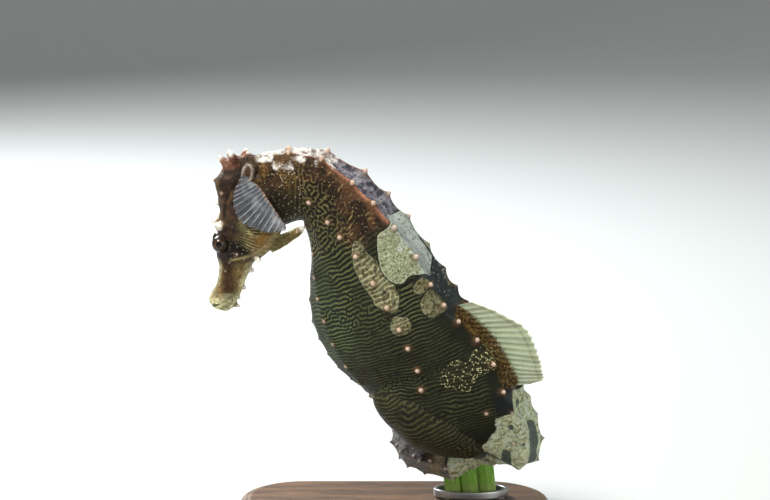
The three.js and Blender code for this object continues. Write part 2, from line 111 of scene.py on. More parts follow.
POUCH_CENTRE = [6.3, 25.5]
POUCH_HALF_LENGTH = 12
POUCH_HALF_DEPTH = 5.4
POUCH_HALF_WIDTH = 6.6
POUCH_SLOPE = -29.5

# Half outlines from the back's midline to the belly's: width share, depth share.
TRUNK_OUTLINE = [
    [0, 0.95], [0.62, 1], [0.9, 0.6], [1, 0.14], [0.94, -0.3], [0.7, -0.68], [0.34, -0.92], [0, -1],
]
HEAD_OUTLINE = [
    [0, 1], [0.46, 0.88], [0.84, 0.5], [1, 0], [0.9, -0.5], [0.56, -0.85], [0.22, -0.98], [0, -1],
]
TAIL_OUTLINE = [[0, 0.9], [0.82, 0.96], [1, 0], [0.78, -0.9], [0, -0.96]]

BUNCH_Y = 11
BUNCH_HALF = [6.5, 3.6]
BUNCH_FOOT = [15.7, 8]
BUNCH_LEAN = 0.11

VOXEL = 0.155


# ---------------------------------------------------------------- small helpers
def lerp(a, b, t):
    return a + (b - a) * t


def smoothstep(low, high, x):
    t = np.clip((np.asarray(x, float) - low) / (high - low), 0, 1)
    return t * t * (3 - 2 * t)


def within(x, start, full, fading, end):
    """1 from full to fading, falling smoothly to 0 at start and end."""
    return smoothstep(start, full, x) * (1 - smoothstep(fading, end, x))


def bell(x, width):
    return np.exp(-((np.asarray(x, float) / width) ** 2))


def unit(v):
    v = np.asarray(v, float)
    return v / np.maximum(np.linalg.norm(v, axis=-1, keepdims=True), 1e-12)


def dot(a, b):
    return np.sum(a * b, axis=-1)


def bunch_x(z):
    return BUNCH_FOOT[0] - BUNCH_LEAN * (z - BUNCH_FOOT[1])


def value_noise(points, size, seed=0):
    """Smooth noise from -1 to 1 in space, with lumps of about the given size in millimetres."""
    scaled = np.asarray(points, float) / size + 37.3 * (seed + 1)
    cell = np.floor(scaled).astype(np.int64)
    t = scaled - cell
    t = t * t * (3 - 2 * t)
    total = np.zeros(len(scaled))
    for corner in range(8):
        step = np.array([corner & 1, (corner >> 1) & 1, (corner >> 2) & 1])
        key = (cell + step) @ np.array([73856093, 19349663, 83492791]) + seed * 2654435
        key = (key ^ (key >> 13)) * 1274126177
        random = ((key ^ (key >> 16)) & 0xFFFF) / 32767.5 - 1
        total += random * np.prod(np.where(step, t, 1 - t), axis=1)
    return total


# ---------------------------------------------------------------- body stations
# A station holds a ring's centre, the direction of its back, its half depth and half width.
def plane_stations(rows, roll):
    table = np.array([[*row, roll, 0][:7] for row in rows], float)
    back = np.stack([table[:, 0], PLANE_Y + table[:, 6], table[:, 1]], axis=1)
    belly = np.stack([table[:, 2], PLANE_Y + table[:, 6], table[:, 3]], axis=1)
    up = unit(back - belly)
    towards = np.array([0.0, -1.0, 0.0])
    side = unit(towards - up * (up @ towards)[:, None])
    turn = np.radians(table[:, 5:6])
    dorsal = up * np.cos(turn) + side * np.sin(turn)
    half_depth = np.linalg.norm(back - belly, axis=1, keepdims=True) / 2 / np.cos(turn)
    return np.hstack([(back + belly) / 2, dorsal, half_depth, table[:, 4:5]])


def coil_stations():
    share = np.arange(COIL_RINGS + 1) / COIL_RINGS
    quarters = 0.15 + (COIL_QUARTERS - 0.15) * (1 - (1 - share) ** 1.15)
    angle = np.radians(-90 - 90 * quarters)
    z = COIL_START_Z + COIL_RISE * (1 - np.exp(-quarters / 3.6)) - 1.3 * bell(quarters - 0.85, 0.6)
    radius = lerp(COIL_START_RADIUS, TAIL_TIP_RADIUS, share**1.25)
    radius_x = BUNCH_HALF[0] + radius + 5.9 * np.exp(-quarters / 1.54)
    radius_y = BUNCH_HALF[1] + radius + 3.2 * np.exp(-quarters / 1.2)
    x = bunch_x(z) + radius_x * np.cos(angle)
    y = BUNCH_Y + radius_y * np.sin(angle)
    droop = np.radians(52 * np.maximum(0, 1 - quarters / 2))
    level = np.cos(droop)
    dorsal = [np.cos(angle) * level, np.sin(angle) * level, -np.sin(droop)]
    return np.stack([x, y, z, *dorsal, radius, radius * 0.95], axis=1)


def body_stations():
    neck = plane_stations(NECK_ROWS, NECK_ROLL)
    trunk = plane_stations(TRUNK_ROWS, TRUNK_ROLL)
    tail = plane_stations(TAIL_ROWS, 0)
    return np.vstack([neck, trunk, tail, coil_stations()])


BODY = body_stations()
HEAD = plane_stations(HEAD_ROWS, HEAD_ROLL)
HEAD_SIDE = unit(np.array([math.sin(math.radians(HEAD_ROLL)), -math.cos(math.radians(HEAD_ROLL)), 0]))


def catmull_rom(stations, start, t):
    last = len(stations) - 1
    a, b, c, d = (stations[np.clip(start + k, 0, last)] for k in (-1, 0, 1, 2))
    t = t[:, None]
    return 0.5 * (2 * b + t * (c - a + t * (2 * a - 5 * b + 4 * c - d + t * (3 * b - a - 3 * c + d))))


def frames(stations, ring):
    """Centre, back direction, left direction, half depth, half width and the step per ring."""
    ring = np.atleast_1d(np.asarray(ring, float))
    start = np.clip(np.floor(ring), 0, len(stations) - 2).astype(int)
    here = catmull_rom(stations, start, ring - start)
    behind = catmull_rom(stations, start, ring - start - 0.05)
    ahead = catmull_rom(stations, start, ring - start + 0.05)
    step = (ahead[:, :3] - behind[:, :3]) / 0.1
    dorsal = unit(here[:, 3:6])
    left = unit(np.cross(step, dorsal))
    if stations is HEAD:
        left = np.where(left[:, 1:2] > 0, -left, left)
    return here[:, :3], dorsal, left, here[:, 6], here[:, 7], step


def locate(stations, points, ring):
    """Each point's fractional ring, its girth angle (0 at the back, + to the left) and its reach."""
    ring = np.array(ring, float)
    for _ in range(7):
        centre, dorsal, left, _, _, step = frames(stations, ring)
        normal = unit(np.cross(left, dorsal))
        speed = dot(step, normal)
        speed = np.where(np.abs(speed) < 0.2, 0.2 * np.sign(speed + 1e-9), speed)
        ring += np.clip(dot(points - centre, normal) / speed, -0.3, 0.3)
        ring = np.clip(ring, 0, len(stations) - 1)
    centre, dorsal, left, half_depth, half_width, _ = frames(stations, ring)
    across = dot(points - centre, left)
    up = dot(points - centre, dorsal)
    return ring, np.arctan2(across / half_width, up / half_depth), np.hypot(across, up)


# ---------------------------------------------------------------- sections
def polar_outline(half, soften):
    """The reach of an outline at each half degree, straight between corners that are then rounded."""
    corners = np.array(half, float)
    t = np.linspace(0, 1, 60, endpoint=False)[:, None]
    edges = [lerp(a, b, t) for a, b in zip(corners[:-1], corners[1:])]
    line = np.vstack([*edges, corners[-1:]])
    angle = np.degrees(np.arctan2(line[:, 0], line[:, 1]))
    quarter = np.interp(np.arange(0, 181, 0.5), angle, np.hypot(line[:, 0], line[:, 1]))
    full = np.concatenate([quarter[:360], quarter[:0:-1][:360]])
    offsets = np.minimum(np.arange(720), 720 - np.arange(720)) / 2
    weight = bell(offsets, soften)
    return np.real(np.fft.ifft(np.fft.fft(full) * np.fft.fft(weight / weight.sum())))


TRUNK_POLAR = polar_outline(TRUNK_OUTLINE, 6)
TAIL_POLAR = polar_outline(TAIL_OUTLINE, 7)
HEAD_POLAR = polar_outline(HEAD_OUTLINE, 9)


def polar(table, girth):
    place = (np.degrees(girth) % 360) * 2
    low = np.floor(place).astype(int) % 720
    return lerp(table[low], table[(low + 1) % 720], place - np.floor(place))


# Along the trunk, by ring: how far the back's midline is turned, then the angles from it to the
# superior, lateral and inferior ridges.  The tail has a superior and an inferior ridge only.
RIDGE_TABLE = np.array([
    [0, -10, 11, 88, 134],
    [2, -5, 21, 89, 134],
    [3, -1, 30, 82, 134],
    [4, -3, 32, 77, 134],
    [5, -4, 33, 73, 134],
    [6, -5, 34, 73, 134],
    [7, -3, 34, 70, 135],
    [8, -4, 33, 72, 137],
    [9, -6, 31, 79, 144],
    [10, -7, 31, 87, 150],
    [11, -3, 32, 91, 148],
    [12, 0, 34, 96, 145],
    [13, 0, 38, 106, 141],
    [14, 0, 40.5, 112, 139],
], float)


def ridge_angles(ring):
    """The back's turn and the three ridge angles at each ring, in degrees."""
    return [np.interp(ring, RIDGE_TABLE[:, 0], RIDGE_TABLE[:, k]) for k in (1, 2, 3, 4)]


def from_midline(ring, girth):
    """Degrees round from the back's midline, + to the left, -180 to 180."""
    turn = ridge_angles(ring)[0]
    return (np.degrees(girth) - turn + 180) % 360 - 180


def section_reach(ring, girth):
    """The section's reach, with the outline's corners moved to the ridges."""
    _, superior, lateral, inferior = ridge_angles(ring)
    around = from_midline(ring, girth)
    side, size = np.sign(around), np.abs(around)
    warped = np.where(size < superior, size / superior * 31.8, 0)
    flank = (size >= superior) & (size < lateral)
    warped = np.where(flank, lerp(31.8, 82.0, (size - superior) / (lateral - superior)), warped)
    low = (size >= lateral) & (size < inferior)
    warped = np.where(low, lerp(82.0, 134.0, (size - lateral) / (inferior - lateral)), warped)
    warped = np.where(size >= inferior, lerp(134.0, 180.0, (size - inferior) / (180 - inferior)), warped)
    trunk = polar(TRUNK_POLAR, np.radians(side * warped))
    return lerp(trunk, polar(TAIL_POLAR, girth), smoothstep(12.0, 13.5, ring))


# Where plates stand along the body, as fractional rings.
PLATES = np.array([0, 1, 2.05, 2.97, 3.87, 4.74, 5.75, 6.7, 7.6, 8.5, 9.55, 10.7, 11.85, *range(13, 50)])
HUMP_HEIGHT = 1.5


def plate_wave(ring):
    """1 at the middle of each plate and -1 between plates."""
    return np.cos(2 * np.pi * np.interp(ring, PLATES, np.arange(len(PLATES))))


def fin_hump(ring, around):
    """The muscle along the back that carries the dorsal fin."""
    along = smoothstep(7.6, 8.6, ring) * (1 - smoothstep(12.0, 12.9, ring))
    superior = ridge_angles(ring)[1]
    return HUMP_HEIGHT * along * bell(around / np.maximum(superior * 0.62, 1), 1)


def body_relief(ring, girth):
    """How far plates and long ridges stand proud of the outline, in millimetres."""
    _, superior, lateral, inferior = ridge_angles(ring)
    around = np.abs(from_midline(ring, girth))
    tail = smoothstep(11.6, 13.6, ring)
    thin = lerp(1.0, 0.35, smoothstep(FIRST_TAIL, TAIL_END, ring))
    wave = plate_wave(ring)
    scallop = 0.62 + 0.38 * wave * smoothstep(1.2, 2.4, ring)
    ringed = (0.5 + 0.5 * wave) ** 1.5 * smoothstep(0.8, 2.0, ring)
    sharp = lerp(4.0, 7.0, tail)
    crest = bell(around - superior, sharp) * lerp(0.55, 0.26, tail)
    crest = crest + bell(around - lateral, 5) * 0.14 * (1 - tail)
    crest = crest + bell(around - inferior, lerp(5, 8, tail)) * lerp(0.12, 0.2, tail)
    crest = crest + bell(around - 180, 5) * 0.2 * (1 - tail)
    plates = lerp(0.13, 0.2, tail) * ringed
    hollow = -0.3 * bell(around / np.maximum(superior, 1), 0.75) * (1 - tail)
    return thin * (plates + hollow + crest * scallop) + fin_hump(ring, around)


def body_point(ring, girth):
    centre, dorsal, left, half_depth, half_width, _ = frames(BODY, ring)
    reach = section_reach(ring, girth)
    across = reach * np.sin(girth) * half_width
    up = reach * np.cos(girth) * half_depth
    length = np.hypot(across, up)
    grown = (length + body_relief(ring, girth)) / length
    return centre + left * (across * grown)[:, None] + dorsal * (up * grown)[:, None]


def head_point(ring, girth):
    centre, dorsal, left, half_depth, half_width, _ = frames(HEAD, ring)
    reach = polar(HEAD_POLAR, girth)
    across = reach * np.sin(girth) * half_width
    up = reach * np.cos(girth) * half_depth
    return centre + left * across[:, None] + dorsal * up[:, None]


def beside_head(x, z, offset):
    """A point beside the head: x and z in the plane of symmetry, then the offset to its left."""
    return np.array([x, PLANE_Y, z]) + HEAD_SIDE * offset


# ---------------------------------------------------------------- closed surfaces under the skin
BODY_STEPS = 900
BODY_COLUMNS = 180
HEAD_STEPS = 260
HEAD_COLUMNS = 120
CROWN_WALL_STEPS = 22
CROWN_BOWL_STEPS = 12
COIL_CROWDING = 1.25  # more rows towards the tail's end, where rings are short


# Each surface is (points, quads, chart).  They overlap, and a remesh makes one skin of them.
def sweep_quads(rows, columns):
    """Quads over a grid of closed rows."""
    r, c = np.meshgrid(np.arange(rows - 1), np.arange(columns), indexing="ij")
    a = (r * columns + c).ravel()
    b = (r * columns + (c + 1) % columns).ravel()
    return np.stack([a, b, b + columns, a + columns], axis=1)


def capped(rows):
    """A closed surface through rows of points, closed at each end by rows shrunk to a point."""
    first, last = rows[0], rows[-1]
    shrink = np.array([0.66, 0.33, 0.02])[:, None, None]
    start = (first.mean(axis=0) + (first - first.mean(axis=0)) * shrink)[::-1]
    end = last.mean(axis=0) + (last - last.mean(axis=0)) * shrink
    whole = np.concatenate([start, rows, end])
    count, columns = whole.shape[:2]
    quads = sweep_quads(count, columns)
    tips = [np.arange(columns)[::-1], np.arange(columns) + (count - 1) * columns]
    return whole.reshape(-1, 3), quads, tips


def swept(point, low, high, rows, columns):
    ring, girth = np.meshgrid(
        np.linspace(low, high, rows), np.linspace(-np.pi, np.pi, columns, endpoint=False), indexing="ij"
    )
    return capped(point(ring.ravel(), girth.ravel()).reshape(rows, columns, 3))


def body_surface():
    ring = TAIL_END * np.linspace(0, 1, BODY_STEPS) ** COIL_CROWDING
    turn = np.linspace(-np.pi, np.pi, BODY_COLUMNS, endpoint=False)
    ring, girth = np.meshgrid(ring, turn, indexing="ij")
    return capped(body_point(ring.ravel(), girth.ravel()).reshape(BODY_STEPS, BODY_COLUMNS, 3))


def head_surface():
    return swept(head_point, 0.0, len(HEAD_ROWS) - 1, HEAD_STEPS, HEAD_COLUMNS)


def pouch_axes():
    slope = math.radians(POUCH_SLOPE)
    along = np.array([math.cos(slope), 0, math.sin(slope)])
    roll = math.radians(TRUNK_ROLL * 0.6)
    across = np.array([0, 1.0, 0])
    down = np.cross(along, across)
    turned = across * math.cos(roll) + down * math.sin(roll)
    return along, turned, np.cross(along, turned)


def in_pouch(points):
    """Points in the pouch's own axes, where its surface is a unit ball, and their offsets from its middle."""
    along, across, down = pouch_axes()
    offset = points - np.array([POUCH_CENTRE[0], PLANE_Y, POUCH_CENTRE[1]])
    ball = np.stack([offset @ along, offset @ across, offset @ down], axis=1)
    return ball / [POUCH_HALF_LENGTH, POUCH_HALF_WIDTH, POUCH_HALF_DEPTH], offset


def pouch_surface():
    along, across, down = pouch_axes()
    height, turn = np.meshgrid(
        np.linspace(-0.995, 0.995, 90), np.linspace(-np.pi, np.pi, 90, endpoint=False), indexing="ij"
    )
    height = np.sin(height * np.pi / 2).ravel()
    turn = turn.ravel()
    round_ = np.sqrt(1 - height**2)
    centre = np.array([POUCH_CENTRE[0], PLANE_Y, POUCH_CENTRE[1]])
    points = (
        centre
        + along * (height * POUCH_HALF_LENGTH)[:, None]
        + across * (round_ * np.cos(turn) * POUCH_HALF_WIDTH)[:, None]
        + down * (round_ * np.sin(turn) * POUCH_HALF_DEPTH)[:, None]
    )
    return capped(points.reshape(90, 90, 3))


# The coronet's foot and axes, and its five points: turn, reach and height.
CROWN_FOOT = beside_head(-30.8, 75.6, 0)
CROWN_AXIS = unit(np.array([-0.12, 0, 1]))
CROWN_FORWARD = unit(np.array([-1, -0.16, -0.12]))
CROWN_ACROSS = unit(np.cross(CROWN_AXIS, CROWN_FORWARD))
CROWN_POINTS = [(4, 3.75, 3.8), (62, 3.3, 4.6), (-66, 3.4, 4.3), (134, 3.1, 4.4), (-132, 3.2, 4.2)]


def crown_place(turn, reach, height):
    level = CROWN_FORWARD * np.cos(turn)[..., None] + CROWN_ACROSS * np.sin(turn)[..., None]
    return CROWN_FOOT + level * reach[..., None] + CROWN_AXIS * height[..., None]


# Horns of the head: foot, tip, foot radius, and how far the middle is bent up.
HORNS = [
    (beside_head(-34.0, 69.4, 0), beside_head(-36.2, 69.8, 0), 0.95, 0.1),
    (beside_head(-33.9, 66.9, 0), beside_head(-35.7, 67.1, 0), 0.8, 0.0),
    (beside_head(-25.4, 61.2, 0.6), beside_head(-18.3, 65.0, 1.6), 1.85, -0.4),
    (beside_head(-28.9, 59.2, 0), beside_head(-26.8, 58.1, 0.5), 0.95, 0.1),
    (beside_head(-28.6, 60.0, 0.3), beside_head(-26.9, 59.3, 1.4), 0.8, 0.1),
    (beside_head(-29.9, 56.4, 0), beside_head(-28.2, 55.8, 0.3), 0.95, 0.1),
    (beside_head(-31.2, 53.0, 0), beside_head(-29.8, 52.3, 0.2), 0.9, 0.1),
    (beside_head(-31.9, 50.8, 0), beside_head(-30.9, 50.2, 0.1), 0.75, 0.1),
    (beside_head(-32.4, 49.3, 0), beside_head(-31.1, 48.6, 0.1), 0.75, 0.0),
    (beside_head(-27.6, 77.0, 0.6), beside_head(-27.0, 79.9, 1.2), 0.75, 0.0),
    (beside_head(-25.6, 77.6, 0.2), beside_head(-25.3, 80.3, 0.6), 0.8, 0.0),
]
PALE_HORNS = (9, 10, 11, 12, 13, 14, 15)
CROWN_HORN_REACH = np.array([0.78, 1.04])  # the foot and the tip of a point, in shares of its reach
CROWN_HORN_LIFT = np.array([-0.9, 0.25])
CROWN_HORN_RADIUS = 0.95


def crown_horn(turn, reach, height):
    """The horn that ends one of the coronet's points."""
    turns = np.radians(np.full(2, turn))
    low, high = crown_place(turns, reach * CROWN_HORN_REACH, height + CROWN_HORN_LIFT)
    return low, high, CROWN_HORN_RADIUS, 0.0


def paired_horns(side):
    """The brow spine and the jaw spine of one side."""
    brow = (beside_head(-33.9, 65.2, side * 1.9), beside_head(-36.5, 65.6, side * 3.1), 1.0, 0.2)
    jaw = (beside_head(-28.6, 60.0, side * 2.3), beside_head(-27.6, 58.3, side * 4.0), 0.8, 0.0)
    return [brow, jaw]


HORNS += [crown_horn(*point) for point in CROWN_POINTS]
HORNS += paired_horns(1) + paired_horns(-1)


def horn_surface(foot, tip, radius, bend):
    axis = tip - foot
    across = unit(np.cross([0, -1, 0.2], axis))
    other = unit(np.cross(axis, across))
    share = np.linspace(0, 1, 16)
    blunt = np.sqrt(np.clip(1 - np.maximum(0, share - 0.8) ** 2 * 22, 0.05, 1))
    width = radius * (1 - 0.58 * share**0.8) * blunt
    turn = np.linspace(-np.pi, np.pi, 20, endpoint=False)
    middle = foot + axis * share[:, None] + np.array([0, 0, 1]) * (bend * np.sin(np.pi * share))[:, None]
    flat = 0.62 if np.linalg.norm(axis) > 5 else 1.0
    if flat < 1:
        across = unit(np.cross(HEAD_SIDE, axis))
        other = unit(np.cross(axis, across)) * flat
    spread = across * np.cos(turn)[:, None] + other * np.sin(turn)[:, None]
    return capped(middle[:, None] + spread[None] * width[:, None, None])


def crown_surface():
    turn = np.linspace(-np.pi, np.pi, HEAD_COLUMNS, endpoint=False)
    tip = np.zeros_like(turn)
    reach_rim = np.full_like(turn, 2.55)
    height_rim = np.full_like(turn, 3.2)
    for angle, reach, height in CROWN_POINTS:
        away = (np.degrees(turn) - angle + 180) % 360 - 180
        here = bell(away, 17)
        tip += here
        reach_rim += (reach - 2.55) * here
        height_rim += (height - 3.2) * here
    stretch = 1 + 0.5 * np.cos(turn) ** 2
    waist = 2.15 * stretch
    rows = []
    for share in np.linspace(0, 1, CROWN_WALL_STEPS):
        flare = share**2.4
        reach = lerp(waist, reach_rim, flare) + 0.12 * tip * share
        rows.append(crown_place(turn, reach, height_rim * share))
    for share in np.linspace(0.12, 1, CROWN_BOWL_STEPS):
        inner = lerp(reach_rim - 0.55, 0.75 * stretch, share**0.8)
        height = lerp(height_rim + 0.05, np.full_like(turn, 2.1), share**1.3)
        rows.append(crown_place(turn, inner, height))
    return capped(np.array(rows))


def skin_surfaces():
    parts = [body_surface(), head_surface(), pouch_surface(), crown_surface()]
    return parts + [horn_surface(*horn) for horn in HORNS]


# ---------------------------------------------------------------- meshes
def new_mesh(name, points, faces):
    """A mesh object from millimetre points, smooth shaded."""
    mesh = bpy.data.meshes.new(name)
    sizes = np.array([len(f) for f in faces]) if isinstance(faces, list) else None
    if sizes is None:
        sizes = np.full(len(faces), faces.shape[1])
        corners = np.asarray(faces).ravel()
    else:
        corners = np.concatenate([np.asarray(f) for f in faces])
    mesh.vertices.add(len(points))
    mesh.vertices.foreach_set("co", (np.asarray(points) * MM).astype(np.float32).ravel())
    mesh.loops.add(len(corners))
    mesh.loops.foreach_set("vertex_index", corners.astype(np.int32))
    mesh.polygons.add(len(sizes))
    starts = np.concatenate([[0], np.cumsum(sizes)[:-1]])
    mesh.polygons.foreach_set("loop_start", starts.astype(np.int32))
    mesh.update(calc_edges=True)
    mesh.validate()
    mesh.polygons.foreach_set("use_smooth", np.ones(len(mesh.polygons), bool))
    thing = bpy.data.objects.new(name, mesh)
    bpy.context.scene.collection.objects.link(thing)
    return thing


def mesh_points(mesh):
    flat = np.empty(len(mesh.vertices) * 3, np.float32)
    mesh.vertices.foreach_get("co", flat)
    return flat.reshape(-1, 3).astype(float) / MM


def mesh_normals(mesh):
    flat = np.empty(len(mesh.vertices) * 3, np.float32)
    mesh.vertices.foreach_get("normal", flat)
    return flat.reshape(-1, 3).astype(float)


def set_points(mesh, points):
    mesh.vertices.foreach_set("co", (points * MM).astype(np.float32).ravel())
    mesh.update()


def set_attribute(mesh, name, values):
    kind = "FLOAT_COLOR" if np.ndim(values) == 2 else "FLOAT"
    made = mesh.attributes.new(name, kind, "POINT")
    if kind == "FLOAT":
        made.data.foreach_set("value", np.asarray(values, np.float32))
    else:
        full = np.ones((len(values), 4), np.float32)
        full[:, :3] = values
        made.data.foreach_set("color", full.ravel())


def applied(thing):
    """Replaces an object's mesh by the result of its modifiers."""
    graph = bpy.context.evaluated_depsgraph_get()
    mesh = bpy.data.meshes.new_from_object(thing.evaluated_get(graph), depsgraph=graph)
    thing.modifiers.clear()
    old = thing.data
    thing.data = mesh
    bpy.data.meshes.remove(old)
    return thing


def remeshed(name, surfaces):
    points, faces, base = [], [], 0
    for part, quads, tips in surfaces:
        points.append(part)
        faces += [q + base for q in quads] + [t + base for t in tips]
        base += len(part)
    thing = new_mesh(name, np.vstack(points), faces)
    change = thing.modifiers.new("one_skin", "REMESH")
    change.mode = "VOXEL"
    change.voxel_size = VOXEL * MM
    change.use_smooth_shade = True
    return applied(thing)


def chart_of_vertices(points, surfaces):
    """The surface each point came from and the quad of that surface nearest to it."""
    all_points, all_quads, owner, base = [], [], [], 0
    for k, (part, quads, _) in enumerate(surfaces):
        all_points.append(part)
        all_quads.append(quads + base)
        owner.append(np.full(len(quads), k))
        base += len(part)
    owner = np.concatenate(owner)
    starts = np.concatenate([[0], np.cumsum([len(q) for q in all_quads])])
    tree = BVHTree.FromPolygons(np.vstack(all_points).tolist(), np.vstack(all_quads).tolist())
    nearest = np.fromiter((tree.find_nearest(p)[2] for p in points.tolist()), int, len(points))
    chart = owner[nearest]
    return chart, nearest - starts[chart]


def edges_of(mesh):
    flat = np.empty(len(mesh.edges) * 2, np.int32)
    mesh.edges.foreach_get("vertices", flat)
    return flat.reshape(-1, 2)


def neighbour_mean(values, edges, degree):
    """The mean over each vertex's neighbours of a number or of a row of numbers."""
    a, b = edges[:, 0], edges[:, 1]
    count = len(degree)
    if values.ndim == 1:
        total = np.bincount(a, values[b], count) + np.bincount(b, values[a], count)
        return total / degree
    return np.stack([neighbour_mean(values[:, k], edges, degree) for k in range(values.shape[1])], axis=1)


def smoothed(values, edges, degree, mask, times, rate=0.5):
    mask = mask if values.ndim == 1 else mask[:, None]
    for _ in range(times):
        values = values + mask * rate * (neighbour_mean(values, edges, degree) - values)
    return values


def spread_mask(seeds, edges, degree, steps):
    """1 at the seeds, falling to 0 over the given number of edges."""
    mask = seeds.astype(float)
    a, b = edges[:, 0], edges[:, 1]
    for _ in range(steps):
        grown = mask.copy()
        np.maximum.at(grown, a, mask[b] - 1 / steps)
        np.maximum.at(grown, b, mask[a] - 1 / steps)
        mask = grown
    return smoothed(mask, edges, degree, np.ones(len(mask)), 4)


# ---------------------------------------------------------------- relief on the one skin
LATERAL_SPOTS = [2.1, 3.0, 3.83, 4.65, 5.69, 6.64, 7.6, 8.5, 9.6, 10.75, 11.88, 13.0]
INFERIOR_SPOTS = [2.2, 3.2, 4.1, 5.0, 5.94, 7.03, 8.24, 9.5]


TAIL_SPINES = (16, 17)  # the rings of the tail's two long spines


def tubercles():
    """Rows of ring, girth in degrees, height and radius."""
    rows = []
    for side in (1, -1):
        for ring in PLATES[1:-3]:
            turn, superior, lateral, inferior = (float(a) for a in ridge_angles(ring))
            thin = float(np.interp(ring, [12, 14, 22, 48], [1, 0.7, 0.6, 0.25]))
            big = 1.0 if round(ring) % 3 == 0 else 0.8
            tail_spine = np.interp(ring, [12.5, 13.2, 20, 21], [1, 0.3, 0.3, 1])
            big = max(big * tail_spine, float(side < 0 and round(ring) in TAIL_SPINES))
            big = big * (0.45 if side < 0 and 5 < ring < 9 else 1)
            rows.append((ring, turn + side * superior, 0.85 * thin * big, 0.95 * thin))
            if ring >= 13:
                rows.append((ring, side * inferior, 0.35 * thin, 0.7 * thin))
        for ring in LATERAL_SPOTS:
            turn, _, lateral, _ = (float(a) for a in ridge_angles(ring))
            rows.append((ring, turn + side * lateral, 0.62, 1.0))
        for ring in INFERIOR_SPOTS:
            turn, _, _, inferior = (float(a) for a in ridge_angles(ring))
            rows.append((ring, turn + side * inferior, 0.42, 0.8))
        rows += [(21.68, side * 50, 0.35, 0.7), (22.3, side * 47, 0.35, 0.7), (23.5, side * 48, 0.35, 0.7)]
        rows += [(11.9, side * 128, 0.4, 0.8), (12.54, side * 56, 0.45, 0.85), (15.12, side * 57, 0.4, 0.7)]
    for ring in PLATES[3:11]:
        rows.append((ring, 180 + float(ridge_angles(ring)[0]), 0.25, 0.8))
    return np.array(rows)


# Small knobs of the head: x, z, offset to the side, height and radius.
HEAD_KNOBS = [
    (-35.9, 74.3, 0.0, 0.35, 1.0),
    (-34.4, 72.0, 2.2, 0.25, 0.7),
    (-31.9, 60.2, 3.2, 0.3, 0.6),
    (-30.6, 59.2, 2.9, 0.22, 0.5),
    (-29.0, 60.9, 3.7, 0.25, 0.5),
    (-26.4, 61.6, 3.4, 0.32, 0.6),
    (-25.0, 63.5, 3.9, 0.22, 0.5),
    (-33.2, 58.2, 2.4, 0.2, 0.45),
    (-33.9, 56.2, 1.7, 0.15, 0.4),
    (-36.6, 49.8, 1.6, 0.15, 0.5),
]


def raise_knob(points, normals, foot, height, radius, tips, bases):
    """Lifts one rounded knob out of the skin and marks its tip and its foot."""
    near = np.where(np.abs(points - foot).max(axis=1) < 2.2 * radius)[0]
    if not len(near):
        return
    apart = np.linalg.norm(points[near] - foot, axis=1)
    axis = unit((normals[near] * bell(apart, radius)[:, None]).sum(axis=0))
    facing = smoothstep(0.1, 0.5, normals[near] @ axis)
    offset = points[near] - foot
    t = np.linalg.norm(offset - axis * (offset @ axis)[:, None], axis=1) / radius
    profile = 0.78 * np.exp(-((t / 0.5) ** 2.6)) + 0.22 * np.exp(-((t / 0.95) ** 2))
    points[near] += axis * (height * profile * facing)[:, None]
    strength = smoothstep(0.2, 0.7, height)
    tips[near] = np.maximum(tips[near], smoothstep(0.3, 0.75, profile) * facing * lerp(0.5, 1, strength))
    ring = np.exp(-(((t - 0.75) / 0.3) ** 2)) * facing
    bases[near] = np.maximum(bases[near], ring * lerp(0.4, 1, strength))


GAZE = [unit(HEAD_SIDE * side * 0.95 + np.array([-0.3, 0, 0.05])) for side in (1, -1)]
EYES = [beside_head(EYE_X - 0.25, EYE_Z, EYE_OFFSET), beside_head(EYE_X + 0.5, EYE_Z, -EYE_OFFSET + 0.2)]
LID_RADIUS = EYE_RADIUS + 0.17
LID_OPENING = 41


def wrap_eye(points, centre, gaze):
    """Draws the skin round an eyeball as a turret with a lid's edge; returns how near the lid is."""
    offset = points - centre
    distance = np.linalg.norm(offset, axis=1)
    near = np.where(distance < 4.2)[0]
    way = offset[near] / distance[near][:, None]
    away = np.degrees(np.arccos(np.clip(way @ gaze, -1, 1)))
    reach = distance[near]
    turret = LID_RADIUS * lerp(1, 0.8, smoothstep(95, 128, away))
    pushed = np.where(away < 128, np.maximum(reach, turret), reach)
    drawn = lerp(pushed, LID_RADIUS, (1 - smoothstep(60, 96, away)) * (reach < 3.4))
    edge = smoothstep(LID_OPENING - 6, LID_OPENING, away)
    inside = EYE_RADIUS - 0.35
    drawn = np.where(away < 60, lerp(inside, drawn, edge), drawn)
    drawn = drawn + 0.1 * bell(away - LID_OPENING - 7, 5)
    drawn = drawn - 0.12 * bell(away - LID_OPENING - 24, 6) * (reach < 3.0)
    fade = 1 - smoothstep(3.2, 4.2, reach)
    final = lerp(reach, drawn, fade)
    points[near] = centre + way * final[:, None]
    lid = np.zeros(len(points))
    lid[near] = (1 - smoothstep(LID_OPENING + 4, LID_OPENING + 45, away)) * fade
    return lid


GILL_FAN = [-34.8, 65.2]  # where the lines of the gill cover start
GILL_LINES = 72  # lines in a whole turn
GILL_PLATE = [-28.4, 67.6, 5.1, 7.2]  # the cover's middle x, z and its half sizes


def gill_fan(x, z):
    """The angle in degrees and the distance from the start of the gill cover's lines."""
    across, up = x - GILL_FAN[0], z - GILL_FAN[1]
    return np.degrees(np.arctan2(up, across)), np.hypot(across, up)


